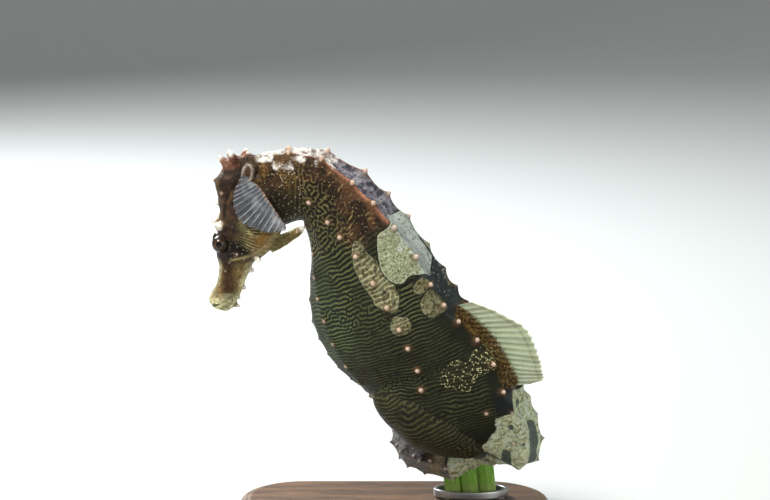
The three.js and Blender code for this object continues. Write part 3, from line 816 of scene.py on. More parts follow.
def head_relief(points, normals, on_head):
    """Gill covers with fine radiating lines, brow, cheek hollow and the slit of the mouth."""
    x, z = points[:, 0], points[:, 2]
    beside = np.abs(normals @ HEAD_SIDE)
    plate = np.hypot((x - GILL_PLATE[0]) / GILL_PLATE[2], (z - GILL_PLATE[1]) / GILL_PLATE[3])
    cover = np.sqrt(np.clip(1 - plate**2, 0, 1)) * smoothstep(0.25, 0.6, beside)
    angle, distance = gill_fan(x, z)
    covered = within(distance, 2.4, 4.0, 11, 13) * smoothstep(0.4, 0.7, beside)
    fan = np.cos(np.radians(angle * GILL_LINES)) * covered * within(angle, -44, -34, 14, 26)
    crease = bell(plate - 1.03, 0.07) * smoothstep(0.3, 0.6, beside)
    slit = bell(along_line(points, MOUTH_LINE), 0.17)
    keel = bell((points[:, 1] - PLANE_Y) / HEAD_SIDE[1], 0.5) * smoothstep(0.4, 0.9, -normals[:, 0])
    keel = keel * smoothstep(50, 52, z) * (1 - smoothstep(58, 61, z))
    brow = bell(along_line(points, BROW_LINE), 0.45) * smoothstep(0.2, 0.5, beside)
    jaw = bell(along_line(points, JAW_LINE), 0.35) * smoothstep(0.2, 0.5, beside)
    lift = 0.5 * cover + 0.11 * fan - 0.22 * crease - 0.5 * slit + 0.2 * keel + 0.35 * brow + 0.25 * jaw
    lumpy = 0.07 * value_noise(points, 1.3, 21) + 0.04 * value_noise(points, 0.6, 22)
    return points + normals * ((lift + lumpy) * on_head)[:, None]


# Lines drawn on the head's side view, as x and z.
MOUTH_LINE = [[-38.0, 49.5], [-36.6, 49.0], [-35.3, 49.3]]
BROW_LINE = [[-35.2, 65.0], [-33.2, 65.6], [-31.2, 64.9], [-30.4, 63.2]]
JAW_LINE = [[-32.6, 58.6], [-29.2, 59.4], [-26.6, 60.8], [-24.6, 62.6], [-23.2, 64.6]]
FOLD_LINE = [
    [-30.1, 74.4], [-30.0, 75.9], [-29.7, 77.2], [-29.1, 77.9], [-28.4, 77.7], [-28.0, 76.8], [-28.2, 75.6],
    [-28.9, 74.6],
]
# the middle of the hollow behind the coronet, which is sunk and darkened with painted shade
CAVITY = [-27.2, 76.3]


def along_line(points, line):
    """Millimetres from a line drawn on the head's side view."""
    flat = points[:, [0, 2]]
    best = np.full(len(points), 9.0)
    for a, b in zip(np.array(line[:-1], float), np.array(line[1:], float)):
        step = b - a
        share = np.clip(((flat - a) @ step) / (step @ step), 0, 1)
        best = np.minimum(best, np.linalg.norm(flat - a - share[:, None] * step, axis=1))
    return best


def crown_relief(points, normals, near_crown):
    """The folded rim beside the coronet's foot and the hollow behind it; the hollow's mask also sets painted
    shade there.
    """
    beside = smoothstep(0.15, 0.45, np.abs(normals @ HEAD_SIDE)) * near_crown
    fold = bell(along_line(points, FOLD_LINE), 0.3) * beside
    hollow = bell(np.hypot(points[:, 0] - CAVITY[0], points[:, 2] - CAVITY[1]), 0.75) * beside
    return points + normals * (0.4 * fold - 0.9 * hollow)[:, None], fold, hollow


# ---------------------------------------------------------------- markings
# Outlines of patches: fractional ring, degrees of girth.  Most come from points read off the photo by
# hand, which a scratch program turned into rings and girths; some were then adjusted by hand.
SADDLE = [
    (4.5, -36), (4.4, -7), (4.3, 8), (4.45, 20), (4.62, 33), (4.6, 43), (4.8, 49), (5.15, 54),
    (5.5, 57), (5.8, 56), (6.05, 53), (6.2, 47), (6.12, 40), (6.3, 30), (6.5, 14), (6.35, -8),
    (6.1, -30), (5.8, -50), (5.2, -62), (4.75, -56),
]
OVAL = [
    (4.25, 66), (4.4, 61), (4.75, 60), (5.0, 58), (5.32, 56), (5.67, 55), (6.0, 54), (6.39, 54),
    (6.7, 57), (6.9, 62), (6.84, 68), (6.6, 72), (6.3, 75), (6.03, 75), (5.71, 76), (5.32, 78),
    (4.88, 77), (4.5, 73),
]
RINGS = [
    [(7.12, 68), (7.18, 61), (7.5, 57), (7.8, 59), (7.92, 65), (7.8, 71), (7.45, 73)],
    [(6.4, 38), (6.42, 32), (6.66, 30), (6.8, 36), (6.82, 41), (6.6, 43)],
    [(7.0, 41), (6.85, 32), (7.2, 24), (7.6, 17), (7.8, 25), (7.85, 36), (7.75, 43), (7.42, 45)],
]
NET = [
    (10.7, 70), (10.25, 64), (10.05, 57), (9.9, 49), (10.1, 46), (10.2, 41), (9.95, 34), (9.9, 20),
    (10.2, 4), (10.6, 2), (10.85, 13), (10.88, 30), (10.95, 44), (11.15, 50), (11.4, 56), (11.2, 62),
    (10.95, 67),
]
INK = [
    (11.8, 40), (11.75, 28), (12.1, 14), (12.55, 8), (12.85, 20), (13.05, 34), (12.95, 44), (12.8, 49),
    (12.3, 45),
]
SLIT = [(5.3, -34), (5.37, -29.5), (5.64, -28.5), (6.05, -30), (5.98, -33), (5.64, -32)]
SLATE = [
    [
        (14.6, 2), (15.0, -20), (15.6, -27), (16.3, -24), (17.2, -32), (17.0, -5), (16.7, 10), (16.1, 18),
        (15.1, 14),
    ],
    [(17.9, 70), (16.9, 78), (15.75, 80), (15.75, 66), (16.5, 60), (17.2, 50), (17.95, 48)],
    [(19.65, 43), (19.1, 56), (18.95, 40), (19.1, 28), (19.5, 22), (19.65, 30)],
]
PALE_TAIL = [
    (12.3, 10), (12.55, -4), (12.7, -60), (13.2, -110), (14.2, -150), (17, -178), (20.3, -178), (21.1, -80),
    (21.0, 0), (20.9, 60), (20.6, 110), (19.5, 128), (17.5, 130), (15.6, 120), (14.6, 100), (14.1, 80),
    (13.6, 62), (13.0, 52), (12.95, 40), (12.75, 20),
]
RING_MM = 6.4  # a plate's length and a degree of girth on the flank, to measure outlines by
DEGREE_MM = 0.165
FAR_OFF = 4.0  # distances to an outline are not told beyond this


def rounded_outline(corners):
    """A closed outline smoothed through its corners."""
    corners = np.array(corners, float)
    rows = [np.roll(corners, k, axis=0) for k in (1, 0, -1, -2)]
    t = np.linspace(0, 1, 6, endpoint=False)[:, None, None]
    a, b, c, d = rows
    curve = 0.5 * (2 * b + t * (c - a + t * (2 * a - 5 * b + 4 * c - d + t * (3 * b - a - 3 * c + d))))
    return curve.transpose(1, 0, 2).reshape(-1, 2)


def inside_by(ring, degrees, corners, scale=(RING_MM, DEGREE_MM)):
    """Millimetres inside an outline, negative outside it."""
    line = rounded_outline(corners) * scale
    spots = np.stack([ring, degrees], axis=1) * scale
    best = np.full(len(spots), FAR_OFF)
    crossings = np.zeros(len(spots), bool)
    low, high = line.min(axis=0) - 2, line.max(axis=0) + 2
    near = np.where(((spots > low) & (spots < high)).all(axis=1))[0]
    p = spots[near]
    found, odd = best[near], crossings[near]
    for a, b in zip(line, np.roll(line, -1, axis=0)):
        step = b - a
        share = np.clip(((p - a) @ step) / max(step @ step, 1e-12), 0, 1)
        found = np.minimum(found, np.linalg.norm(p - a - share[:, None] * step, axis=1))
        spans = (a[1] > p[:, 1]) != (b[1] > p[:, 1])
        cut = a[0] + (p[:, 1] - a[1]) * step[0] / (step[1] if abs(step[1]) > 1e-12 else 1e-12)
        odd ^= spans & (p[:, 0] < cut)
    best[near] = found
    crossings[near] = odd
    return np.where(crossings, best, -best)


def on_both_sides(ring, around, corners, shift=0.0):
    """An outline on the left flank, and again on the right where it is moved along by a shift."""
    left = inside_by(ring, around, corners)
    right = inside_by(ring + shift, 2 * ridge_angles(ring)[0] - around, corners)
    return np.maximum(left, right)


def filled(colour, count):
    return np.tile(np.array(colour), (count, 1))


def mix_rows(a, b, share):
    return a + (np.asarray(b) - a) * np.asarray(share)[:, None]


# Linear colours.
GREEN_BELLY = [0.017, 0.024, 0.011]
FLANK = [0.012, 0.014, 0.006]
LOW_FLANK = [0.010, 0.011, 0.005]
RED_BROWN = [0.066, 0.031, 0.015]
DEEP_BROWN = [0.018, 0.009, 0.005]
NECK_BROWN = [0.042, 0.019, 0.008]
MAZE_BROWN = [0.020, 0.014, 0.007]
BACK_GREY = [0.175, 0.165, 0.190]
BACK_DARK = [0.055, 0.055, 0.070]
NAPE_WHITE = [0.66, 0.63, 0.57]
CHARCOAL = [0.028, 0.036, 0.034]
FIN_BASE = [0.075, 0.040, 0.014]
TAIL_BROWN = [0.022, 0.012, 0.006]
TAIL_GREY = [0.16, 0.165, 0.16]
POUCH_BROWN = [0.015, 0.013, 0.0055]
HEAD_BROWN = [0.024, 0.014, 0.009]
FOREHEAD = [0.070, 0.038, 0.013]
GILL_OLIVE = [0.062, 0.048, 0.018]
GILL_PALE = [0.30, 0.27, 0.13]
SNOUT_BROWN = [0.050, 0.024, 0.010]
SNOUT_TAN = [0.17, 0.115, 0.042]
SNOUT_PALE = [0.50, 0.48, 0.27]
CROWN_RED = [0.165, 0.072, 0.042]
CROWN_WHITE = [0.68, 0.62, 0.54]
FOLD_PALE = [0.36, 0.30, 0.27]


def nape_share(points, normals, ring):
    """Where the white of the nape lies: on top, from behind the coronet to the second plate."""
    top = smoothstep(0.05, 0.6, normals[:, 2] + 0.35 * value_noise(points, 1.6, 41))
    ragged = 0.9 * value_noise(points, 2.2, 42)
    along = smoothstep(-28.6, -27.0, points[:, 0] + ragged)
    along = along * (1 - smoothstep(-13.0, -9.5, points[:, 0] + 2 * ragged))
    worn = smoothstep(-0.75, -0.1, value_noise(points, 0.9, 43) + 0.3 * value_noise(points, 2.5, 44))
    return top * along * smoothstep(72.0, 75.0, points[:, 2]) * (ring < 3.6) * lerp(0.7, 1, worn)


def body_colour(ring, around, points):
    _, superior, lateral, inferior = ridge_angles(ring)
    size = np.abs(around)
    drift = value_noise(points, 5.0, 1)
    lumps = value_noise(points, 1.6, 2)
    edge = 3.0 * value_noise(points, 2.2, 3)
    count = len(ring)
    colour = filled(GREEN_BELLY, count)
    flank = 1 - smoothstep(lateral + 10, inferior, size + 2 * edge)
    colour = mix_rows(colour, FLANK, flank)
    low = smoothstep(7.0, 9.0, ring + 0.3 * drift) * smoothstep(20, 60, size)
    colour = mix_rows(colour, LOW_FLANK, low)
    neck = 1 - smoothstep(2.6, 4.4, ring + 0.3 * drift)
    colour = mix_rows(colour, MAZE_BROWN, neck)
    upper = 1 - smoothstep(superior + 30, superior + 52, size + 2 * edge)
    warm = upper * (1 - smoothstep(4.2, 5.0, ring))
    blotch = smoothstep(-0.15, 0.45, 0.8 * lumps + 0.6 * value_noise(points, 2.8, 4))
    lit = np.clip(blotch * (0.4 + 0.9 * bell((size - superior) / 14, 1)), 0, 1)
    red = mix_rows(filled(DEEP_BROWN, count), RED_BROWN, lit)
    colour = mix_rows(colour, red, warm)
    brown_neck = (1 - smoothstep(1.2, 2.2, ring + 0.3 * drift)) * (1 - smoothstep(60, 95, size + edge))
    colour = mix_rows(colour, mix_rows(filled(DEEP_BROWN, count), NECK_BROWN, blotch), brown_neck)
    colour = mix_rows(colour, LOW_FLANK, upper * smoothstep(5.4, 6.2, ring))
    grain = smoothstep(-0.3, 0.5, value_noise(points, 0.8, 45) + 0.4 * lumps)
    grey = mix_rows(filled(BACK_DARK, count), BACK_GREY, grain)
    band = smoothstep(0.55, 0.95, plate_wave(ring))
    grey = mix_rows(grey, [0.30, 0.29, 0.30], band * 0.7)
    back = 1 - smoothstep(superior - 3, superior, size)
    colour = mix_rows(colour, grey, back * within(ring, 0.8, 1.6, 5.0, 6.0))
    reach = np.where(around < 0, 10, 1)
    dark_back = 1 - smoothstep(superior + reach, superior + reach + 5, size + edge)
    colour = mix_rows(colour, CHARCOAL, dark_back * within(ring, 5.9, 6.3, 7.9, 8.5))
    fin_foot = (1 - smoothstep(superior - 9, superior - 1, size + 0.8 * edge)) * smoothstep(8.0, 8.5, ring)
    colour = mix_rows(colour, FIN_BASE, fin_foot * (1 - smoothstep(12.0, 12.6, ring)))
    crest = bell(size - superior, 3.0) * within(ring, 0.5, 1.0, 4.3, 4.9)
    colour = mix_rows(colour, [0.34, 0.15, 0.085], crest * 0.75)
    return colour * (1 + 0.24 * drift + 0.24 * lumps)[:, None]


def tail_colour(ring, around, points):
    size = np.abs(around)
    drift = value_noise(points, 3.0, 5)
    lumps = value_noise(points, 1.1, 6)
    colour = filled(TAIL_BROWN, len(ring))
    top = 1 - smoothstep(38, 48, size + 3 * lumps)
    colour = mix_rows(colour, TAIL_GREY, top * 0.9)
    low_edge = bell(size - 150, 24)
    colour = mix_rows(colour, [0.055, 0.028, 0.012], low_edge * 0.8)
    for centre, width in ((21.45, 0.26), (27.0, 0.5), (31.2, 0.5), (35.0, 0.45), (39.0, 0.5), (43.5, 0.5)):
        band = bell(ring - centre + 0.12 * drift, width)
        colour = mix_rows(colour, [0.24, 0.20, 0.115], band * 0.85)
    return colour * (1 + 0.25 * drift + 0.3 * lumps)[:, None]


GILL_RIM = [[-30.4, 66.6], [-28.6, 64.2], [-25.6, 62.6], [-23.4, 64.6]]


def head_colour(points, normals):
    x, z = points[:, 0], points[:, 2]
    offset = np.abs((points[:, 1] - PLANE_Y) / HEAD_SIDE[1])
    drift = value_noise(points, 3.0, 7)
    lumps = value_noise(points, 1.0, 8)
    fine = value_noise(points, 0.5, 9)
    side = smoothstep(0.9, 1.8, offset)
    colour = filled(HEAD_BROWN, len(x))
    warm = smoothstep(-0.2, 0.5, lumps + 0.5 * drift) * smoothstep(64, 68, z)
    colour = mix_rows(colour, [0.052, 0.026, 0.014], warm * 0.8)
    front = smoothstep(0.35, 0.85, -normals[:, 0]) * smoothstep(62, 65, z)
    colour = mix_rows(colour, FOREHEAD, front * lerp(0.35, 0.9, smoothstep(-0.3, 0.4, lumps)))
    angle, distance = gill_fan(x, z)
    low_edge = smoothstep(-42, -34, angle + 4 * lumps)
    gill = smoothstep(2.8, 4.4, distance + 0.7 * drift) * low_edge
    gill = gill * (1 - smoothstep(12, 34, angle + 8 * drift)) * side
    colour = mix_rows(colour, GILL_OLIVE, gill)
    lines = smoothstep(0.0, 0.85, np.cos(np.radians(angle * GILL_LINES + 30 * drift)) + 0.3 * fine)
    lines = lines * within(distance, 3.2, 5.5, 10.5, 13)
    colour = mix_rows(colour, GILL_PALE, gill * lines * 0.7)
    rim = bell(along_line(points, GILL_RIM), 0.32) * side
    colour = mix_rows(colour, [0.30, 0.26, 0.12], rim * 0.75)
    cheek = bell(x + 26.0, 2.0) * bell(z - 62.4, 2.0) * side
    colour = mix_rows(colour, [0.20, 0.095, 0.018], np.clip(cheek * (1.0 + lumps), 0, 1))
    patch = bell(x + 31.6, 1.7) * bell(z - 61.1, 1.4) * side
    colour = mix_rows(colour, [0.007, 0.005, 0.004], np.clip(1.5 * patch + 0.3 * fine * patch, 0, 1))
    snout = 1 - smoothstep(56.6, 59.6, z + 0.7 * drift + 0.5 * lumps)
    middle = -33.6 + 0.08 * (60 - z) - 0.06 * np.maximum(0, 55 - z)
    streak = bell(x - middle, 1.35 + 0.3 * lumps)
    tan = mix_rows(filled(SNOUT_TAN, len(x)), SNOUT_BROWN, np.clip(1.25 * streak, 0, 1))
    under = smoothstep(0.25, 0.8, normals[:, 0])
    tan = mix_rows(tan, SNOUT_PALE, under * 0.8 * lerp(0.6, 1, smoothstep(-0.4, 0.4, lumps)))
    tan = mix_rows(tan, np.array(SNOUT_PALE) * 0.7, smoothstep(0.55, 0.95, -normals[:, 0]) * 0.7)
    tip = 1 - smoothstep(49.6, 52.2, z + 0.6 * lumps)
    tan = mix_rows(tan, SNOUT_PALE, tip * lerp(0.65, 1, smoothstep(-0.3, 0.5, fine + 0.5 * lumps)))
    colour = mix_rows(colour, tan, snout)
    throat = smoothstep(0.3, 0.8, normals[:, 0]) * smoothstep(57, 59, z) * (1 - smoothstep(62, 65, z))
    colour = mix_rows(colour, np.array(SNOUT_PALE) * 0.7, throat * 0.7)
    jaw = bell(along_line(points, JAW_LINE), 0.3) * side
    colour = mix_rows(colour, [0.33, 0.27, 0.12], jaw * 0.7)
    slit = bell(along_line(points, MOUTH_LINE), 0.16)
    colour = mix_rows(colour, [0.03, 0.02, 0.01], slit * 0.8)
    bright = 1 + 0.22 * drift + 0.3 * lumps + 0.28 * fine
    return colour * np.maximum(bright, 0.2)[:, None]


def crown_colour(points):
    offset = points - CROWN_FOOT
    height = offset @ CROWN_AXIS
    level = np.hypot(offset @ CROWN_FORWARD, offset @ CROWN_ACROSS)
    lumps = value_noise(points, 0.9, 10)
    low = 1 - smoothstep(0.2, 2.0, height + lumps * 0.6)
    colour = mix_rows(filled(CROWN_RED, len(points)), [0.055, 0.028, 0.020], low)
    colour = mix_rows(colour, [0.10, 0.07, 0.075], smoothstep(0.1, 0.6, lumps) * 0.5)
    rim = smoothstep(3.35, 4.05, height + 0.25 * lumps) * smoothstep(1.8, 2.6, level)
    colour = mix_rows(colour, CROWN_WHITE, rim)
    return colour * (1 + 0.3 * lumps)[:, None]


HORN_TIP = [0.82, 0.76, 0.66]


def horn_colour(points, normals, foot, tip, index):
    """A horn's colours and how white its end is."""
    axis = tip - foot
    share = np.clip((points - foot) @ axis / (axis @ axis), 0, 1)
    low = np.array(SNOUT_TAN if index not in (0, 1) else FOREHEAD)
    if index in PALE_HORNS:
        low = np.array(NAPE_WHITE) * 0.8 if index < 11 else np.array(CROWN_RED) * 1.2
    colour = filled(low, len(points))
    if np.linalg.norm(axis) > 5:
        edge = smoothstep(0.12, 0.5, 1 - np.abs(normals @ HEAD_SIDE))
        colour = mix_rows(filled([0.13, 0.10, 0.036], len(points)), [0.46, 0.42, 0.22], edge)
        return colour, smoothstep(0.84, 0.95, share)
    colour = mix_rows(colour, HORN_TIP, smoothstep(0.35, 0.7, share))
    return colour, np.zeros(len(points))


def line_phase(ring, around):
    """Cycles of the fine lines, which lie level at the belly and climb towards the back."""
    belly = np.clip(np.abs(around) / 180, 0, 1)
    return 6.1 * (ring - 1.3 * (1 - belly**2) * (0.4 + 0.6 * smoothstep(1.5, 4, ring)))


# ---------------------------------------------------------------- the one skin
# The number of each surface, in the order of skin_surfaces; the body is 0.
HEAD_CHART = 1
POUCH = 2
CROWN = 3
FIRST_HORN = 4
CAP_ROWS = 3  # rows that close a surface's start


def row_of(quad, columns):
    return quad // columns - CAP_ROWS


def pouch_ring(points):
    """A first guess of the trunk ring beside each point of the pouch."""
    rings = np.arange(7, 14.1, 0.25)
    centre, dorsal, left, _, _, _ = frames(BODY, rings)
    normal = unit(np.cross(left, dorsal))
    apart = np.abs(np.einsum("nrk,rk->nr", points[:, None] - centre[None], normal))
    return rings[np.argmin(apart, axis=1)]


def first_guess(points, chart, quad):
    ring = np.zeros(len(points))
    body = chart == 0
    share = np.clip(row_of(quad[body], BODY_COLUMNS) / (BODY_STEPS - 1), 0, 1)
    ring[body] = TAIL_END * share**COIL_CROWDING
    pouch = chart == POUCH
    ring[pouch] = pouch_ring(points[pouch])
    return ring


def pouch_fillet(points, normals, chart, ring, girth, reach):
    """Fills the groove between pouch and flank; the groove stays open at the pouch's front."""
    place, offset = in_pouch(points)
    size = np.linalg.norm(place, axis=1)
    to_pouch = (size - 1) * np.linalg.norm(offset, axis=1) / np.maximum(size, 1e-6)
    _, _, _, half_depth, half_width, _ = frames(BODY, ring)
    section = section_reach(ring, girth) * np.hypot(np.sin(girth) * half_width, np.cos(girth) * half_depth)
    to_body = reach - section - body_relief(ring, girth)
    other = np.where(chart == POUCH, to_body, to_pouch)
    round_ = lerp(1.5, 10.0, smoothstep(-4.5, 4.0, points[:, 0]))
    grown = np.clip(round_ - np.maximum(other, 0), 0, None) ** 2 / (4 * round_)
    beside = ((chart == 0) & (ring > 7.5) & (ring < 18)) | (chart == POUCH)
    return points + normals * (grown * beside)[:, None]


def round_joins(points, edges, degree, chart, ring):
    """Evens the skin out where surfaces meet; returns the points and how near a join each one is."""
    broad = np.minimum(chart, FIRST_HORN)
    differ = broad[edges[:, 0]] != broad[edges[:, 1]]
    seeds = np.zeros(len(points), bool)
    seeds[edges[differ].ravel()] = True
    join = spread_mask(seeds, edges, degree, max(3, round(1.5 / VOXEL)))
    join = join * np.where(chart >= FIRST_HORN, 0.3, 1.0)
    points = smoothed(points, edges, degree, join, round(4.0 / VOXEL), 0.55)
    nape = np.maximum((broad == 0) & (ring < 1.5), broad == HEAD_CHART) * (points[:, 2] > 70)
    under = np.isin(broad, (0, POUCH)) * (points[:, 2] < 44) * (points[:, 0] > 0)
    wide = spread_mask(seeds & ((nape > 0) | (under > 0)), edges, degree, round(3.2 / VOXEL))
    return smoothed(points, edges, degree, wide, round(9.0 / VOXEL), 0.6), join


def raise_all_knobs(points, normals):
    """Raises the body's tubercles and the head's knobs; returns marks of their tips and their feet."""
    tips, bases = np.zeros(len(points)), np.zeros(len(points))
    rows = tubercles()
    feet = body_point(rows[:, 0], np.radians(rows[:, 1]))
    for foot, (_, _, height, radius) in zip(feet, rows):
        if np.abs(points - foot).max(axis=1).min() < 0.6:
            raise_knob(points, normals, foot, height, radius, tips, bases)
    for x, z, offset, height, radius in HEAD_KNOBS:
        for side in (1, -1):
            seen = beside_head(x, z, side * offset)
            near = points[np.argmin(np.linalg.norm(points - seen, axis=1))]
            raise_knob(points, normals, near, height, radius, tips, bases)
    return tips, bases


def settle_shape(mesh, surfaces):
    """Rounds the joins, raises all relief and returns what the markings are worked out from."""
    points = mesh_points(mesh)
    edges = edges_of(mesh)
    degree = np.maximum(np.bincount(edges.ravel(), minlength=len(points)), 1).astype(float)
    chart, quad = chart_of_vertices(points, surfaces)
    everywhere = np.ones(len(points))
    points = smoothed(points, edges, degree, everywhere, 2, 0.35)
    set_points(mesh, points)
    normals = smoothed(mesh_normals(mesh), edges, degree, everywhere, 3)
    ring, girth, reach = locate(BODY, points, first_guess(points, chart, quad))
    points = pouch_fillet(points, normals, chart, ring, girth, reach)
    points, join = round_joins(points, edges, degree, chart, ring)
    set_points(mesh, points)
    normals = mesh_normals(mesh)

    on_head = ((chart == HEAD_CHART) | (chart >= FIRST_HORN)).astype(float)
    on_head = smoothed(on_head, edges, degree, everywhere, 4)
    points = head_relief(points, normals, on_head)
    near_crown = np.isin(chart, (0, HEAD_CHART, CROWN)) * smoothstep(73.0, 74.5, points[:, 2])
    points, fold, hollow = crown_relief(points, normals, near_crown)
    tips, bases = raise_all_knobs(points, normals)
    lids = np.zeros(len(points))
    for centre, gaze in zip(EYES, GAZE):
        lids = np.maximum(lids, wrap_eye(points, centre, gaze))
    set_points(mesh, points)
    return {
        "points": points, "edges": edges, "degree": degree, "chart": chart, "quad": quad, "join": join,
        "ring": ring, "girth": girth, "tips": tips, "bases": bases, "lids": lids, "fold": fold,
        "hollow": hollow,
    }


LINE_NEAR = 0.155
LINE_FAR = 0.315


def grown_lines(known, phase, freedom):
    """Lines that waver, branch and join: each spot takes after its near ring and against its far ring."""
    edges, degree = known["edges"], known["degree"]
    everywhere = np.ones(len(phase))
    rate = 0.8
    near = max(1, round((LINE_NEAR / VOXEL) ** 2 / (rate / 2)))
    far = max(near + 2, round((LINE_FAR / VOXEL) ** 2 / (rate / 2)))
    waver = 0.62 * value_noise(known["points"], 2.8, 31) + 0.30 * value_noise(known["points"], 1.3, 32)
    guide = np.sin(2 * np.pi * (phase + waver))
    wild = value_noise(known["points"], 0.42, 33) * 1.6
    state = lerp(guide, wild, freedom)
    for _ in range(9):
        close = smoothed(state, edges, degree, everywhere, near, rate)
        wide = smoothed(close, edges, degree, everywhere, far - near, rate)
        state = np.tanh(5.0 * (close - wide + 0.035 * guide * (1 - freedom)) - 0.05)
    return smoothed(state, edges, degree, everywhere, 1, 0.5)


def softened(known, values, times):
    """Values evened out over the mesh a number of times."""
    return smoothed(values, known["edges"], known["degree"], np.ones(len(values)), times)


def horn_marks(points, normals, chart, colour):
    """Colours the horns; returns how white each point of their ends is."""
    white = np.zeros(len(points))
    for index, (foot, tip, _, _) in enumerate(HORNS):
        own = chart == FIRST_HORN + index
        colour[own], white[own] = horn_colour(points[own], normals[own], foot, tip, index)
    return white


def skin_tint(known):
    """The colour under all fine markings, with painted shade in the hollow behind the coronet."""
    points, normals, chart, ring = (known[k] for k in ("points", "normals", "chart", "ring"))
    edges, degree, around = known["edges"], known["degree"], known["around"]
    body, head, crown = known["body"], known["head"], chart == CROWN
    colour = np.zeros((len(points), 3))
    colour[body] = body_colour(ring[body], around[body], points[body])
    coil = smoothstep(20.0, 21.2, ring) * (chart == 0)
    colour[body] = mix_rows(colour[body], tail_colour(ring[body], around[body], points[body]), coil[body])
    pouch_tint = np.array(POUCH_BROWN) * (1 + 0.3 * value_noise(points, 2.0, 12))[:, None]
    colour = mix_rows(colour, pouch_tint, known["pouch"])
    colour[head] = head_colour(points[head], normals[head])
    colour[crown] = crown_colour(points[crown])
    white = horn_marks(points, normals, chart, colour)
    colour = smoothed(colour, edges, degree, known["join"], round(3 / VOXEL))
    colour = mix_rows(colour, HORN_TIP, white)
    banded = ((ring < 2) & (chart == 0)).astype(float)
    colour = smoothed(colour, edges, degree, banded, round(1.2 / VOXEL))
    colour = mix_rows(colour, FOLD_PALE, known["fold"] * 0.85)
    # painted shade: the hollow behind the coronet's foot is darkened
    colour = mix_rows(colour, [0.006, 0.004, 0.003], known["hollow"] * 0.95)
    return mix_rows(colour, [0.012, 0.008, 0.004], known["lids"] * 0.9)


def line_marks(known):
    """The fine lines, how strong they are, and where they run freely."""
    points, ring, size = known["points"], known["ring"], known["size"]
    body, superior = known["body"], known["superior"]
    flank = smoothstep(superior + 4, superior + 16, size)
    upper = flank * (1 - smoothstep(superior + 24, superior + 44, size)) * (1 - smoothstep(4.4, 5.4, ring))
    amount = flank * (1 - 0.8 * upper) * (1 - smoothstep(12.6, 13.8, ring))
    amount = amount * lerp(1, 0.5, smoothstep(7.0, 9.5, ring) * (1 - smoothstep(90, 130, size)))
    amount = amount * smoothstep(0.5, 1.7, ring) * body
    amount = amount * lerp(0.55, 1, smoothstep(-0.4, 0.3, value_noise(points, 4.5, 47)))
    amount = lerp(amount, 0.45, known["pouch"])
    freedom = 0.85 * smoothstep(0.9, 1.8, ring) * (1 - smoothstep(3.2, 5.0, ring + (size - 90) / 60))
    loose = smoothstep(-0.1, 0.5, value_noise(points, 4.0, 46)) * (1 - smoothstep(6, 9, ring))
    freedom = np.maximum(freedom, 0.25 + 0.45 * loose) * body
    return {
        "lines": grown_lines(known, line_phase(ring, known["around"]), freedom),
        "line_amount": softened(known, amount, 3),
    }


def dot_marks(known):
    """The golden scribble and the white dots of neck and cheek, and the nape's white."""
    points, chart, ring, head = (known[k] for k in ("points", "chart", "ring", "head"))
    size, superior = known["size"], known["superior"]
    x, z = points[:, 0], points[:, 2]
    gold = bell(ring - 0.75, 0.6) * bell((size - superior - 34) / 34, 1) * (chart == 0)
    gold = np.maximum(gold, 0.7 * bell(x + 26.0, 1.9) * bell(z - 62.6, 1.9) * head)
    beads = bell(ring - 1.0, 0.42) * smoothstep(superior + 26, superior + 44, size) * (chart == 0)
    beads = np.maximum(beads, bell(x + 30.6, 1.7) * bell(z - 60.4, 1.9) * head)
    return {
        "gold": softened(known, gold, 4),
        "beads": softened(known, beads, 4),
        "nape": nape_share(points, known["normals"], ring) * (known["body"] | head),
    }


def stroke_marks(known):
    """Dashes below the upper ridge, strokes on the flat of the back and the fuzz beside the fin."""
    ring, size, superior = known["ring"], known["size"], known["superior"]
    on_body = known["chart"] == 0
    dashes = within(ring, 1.0, 1.8, 4.0, 5.0)
    dashes = dashes * within(size, superior + 3, superior + 9, superior + 30, superior + 50)
    fuzz = (1 - smoothstep(superior - 9, superior - 1, size)) * within(ring, 8.0, 8.5, 12.2, 12.8)
    strokes = (1 - smoothstep(superior - 6, superior, size)) * within(ring, 1.6, 2.6, 7, 8)
    return {
        "dashes": dashes * on_body,
        "fuzz": fuzz * on_body,
        "strokes": strokes * on_body,
        "stroke_run": np.degrees(known["girth"]) * 0.12,
        "high": 1 - smoothstep(superior - 16, superior + 16, size),
        "ring": ring,
    }


def patch_marks(known):
    """Millimetres inside each patch of the body, negative outside it."""
    ring, degrees = known["ring"], np.degrees(known["girth"])
    rings = [on_both_sides(ring, degrees, outline, 0.15 * k) for k, outline in enumerate(RINGS)]
    patches = {
        "cream": inside_by(ring, degrees, SADDLE),
        "oval": np.maximum(on_both_sides(ring, degrees, OVAL, 0.2), np.max(rings, axis=0)),
        "net": on_both_sides(ring, degrees, NET, -0.2),
        "ink": np.maximum(on_both_sides(ring, degrees, INK), inside_by(ring, degrees, SLIT)),
        "slate": np.max([inside_by(ring, degrees, outline) for outline in SLATE], axis=0),
        "pale": inside_by(ring, degrees, PALE_TAIL),
    }
    return {name: np.where(known["chart"] == 0, values, -FAR_OFF) for name, values in patches.items()}


def mark_skin(mesh, known):
    """Works out each marking's attribute from where a point lies on the animal."""
    chart, ring = known["chart"], known["ring"]
    known["normals"] = mesh_normals(mesh)
    known["around"] = from_midline(ring, known["girth"])
    known["size"] = np.abs(known["around"])
    known["superior"] = ridge_angles(ring)[1]
    known["body"] = (chart == 0) | (chart == POUCH)
    known["head"] = chart == HEAD_CHART
    known["pouch"] = softened(known, (chart == POUCH).astype(float), round(0.9 / VOXEL**2))
    attributes = {"tint": skin_tint(known), "tips": known["tips"], "bases": known["bases"]}
    for marks in (line_marks, dot_marks, stroke_marks, patch_marks):
        attributes |= marks(known)
    for name, values in attributes.items():
        set_attribute(mesh, name, values)


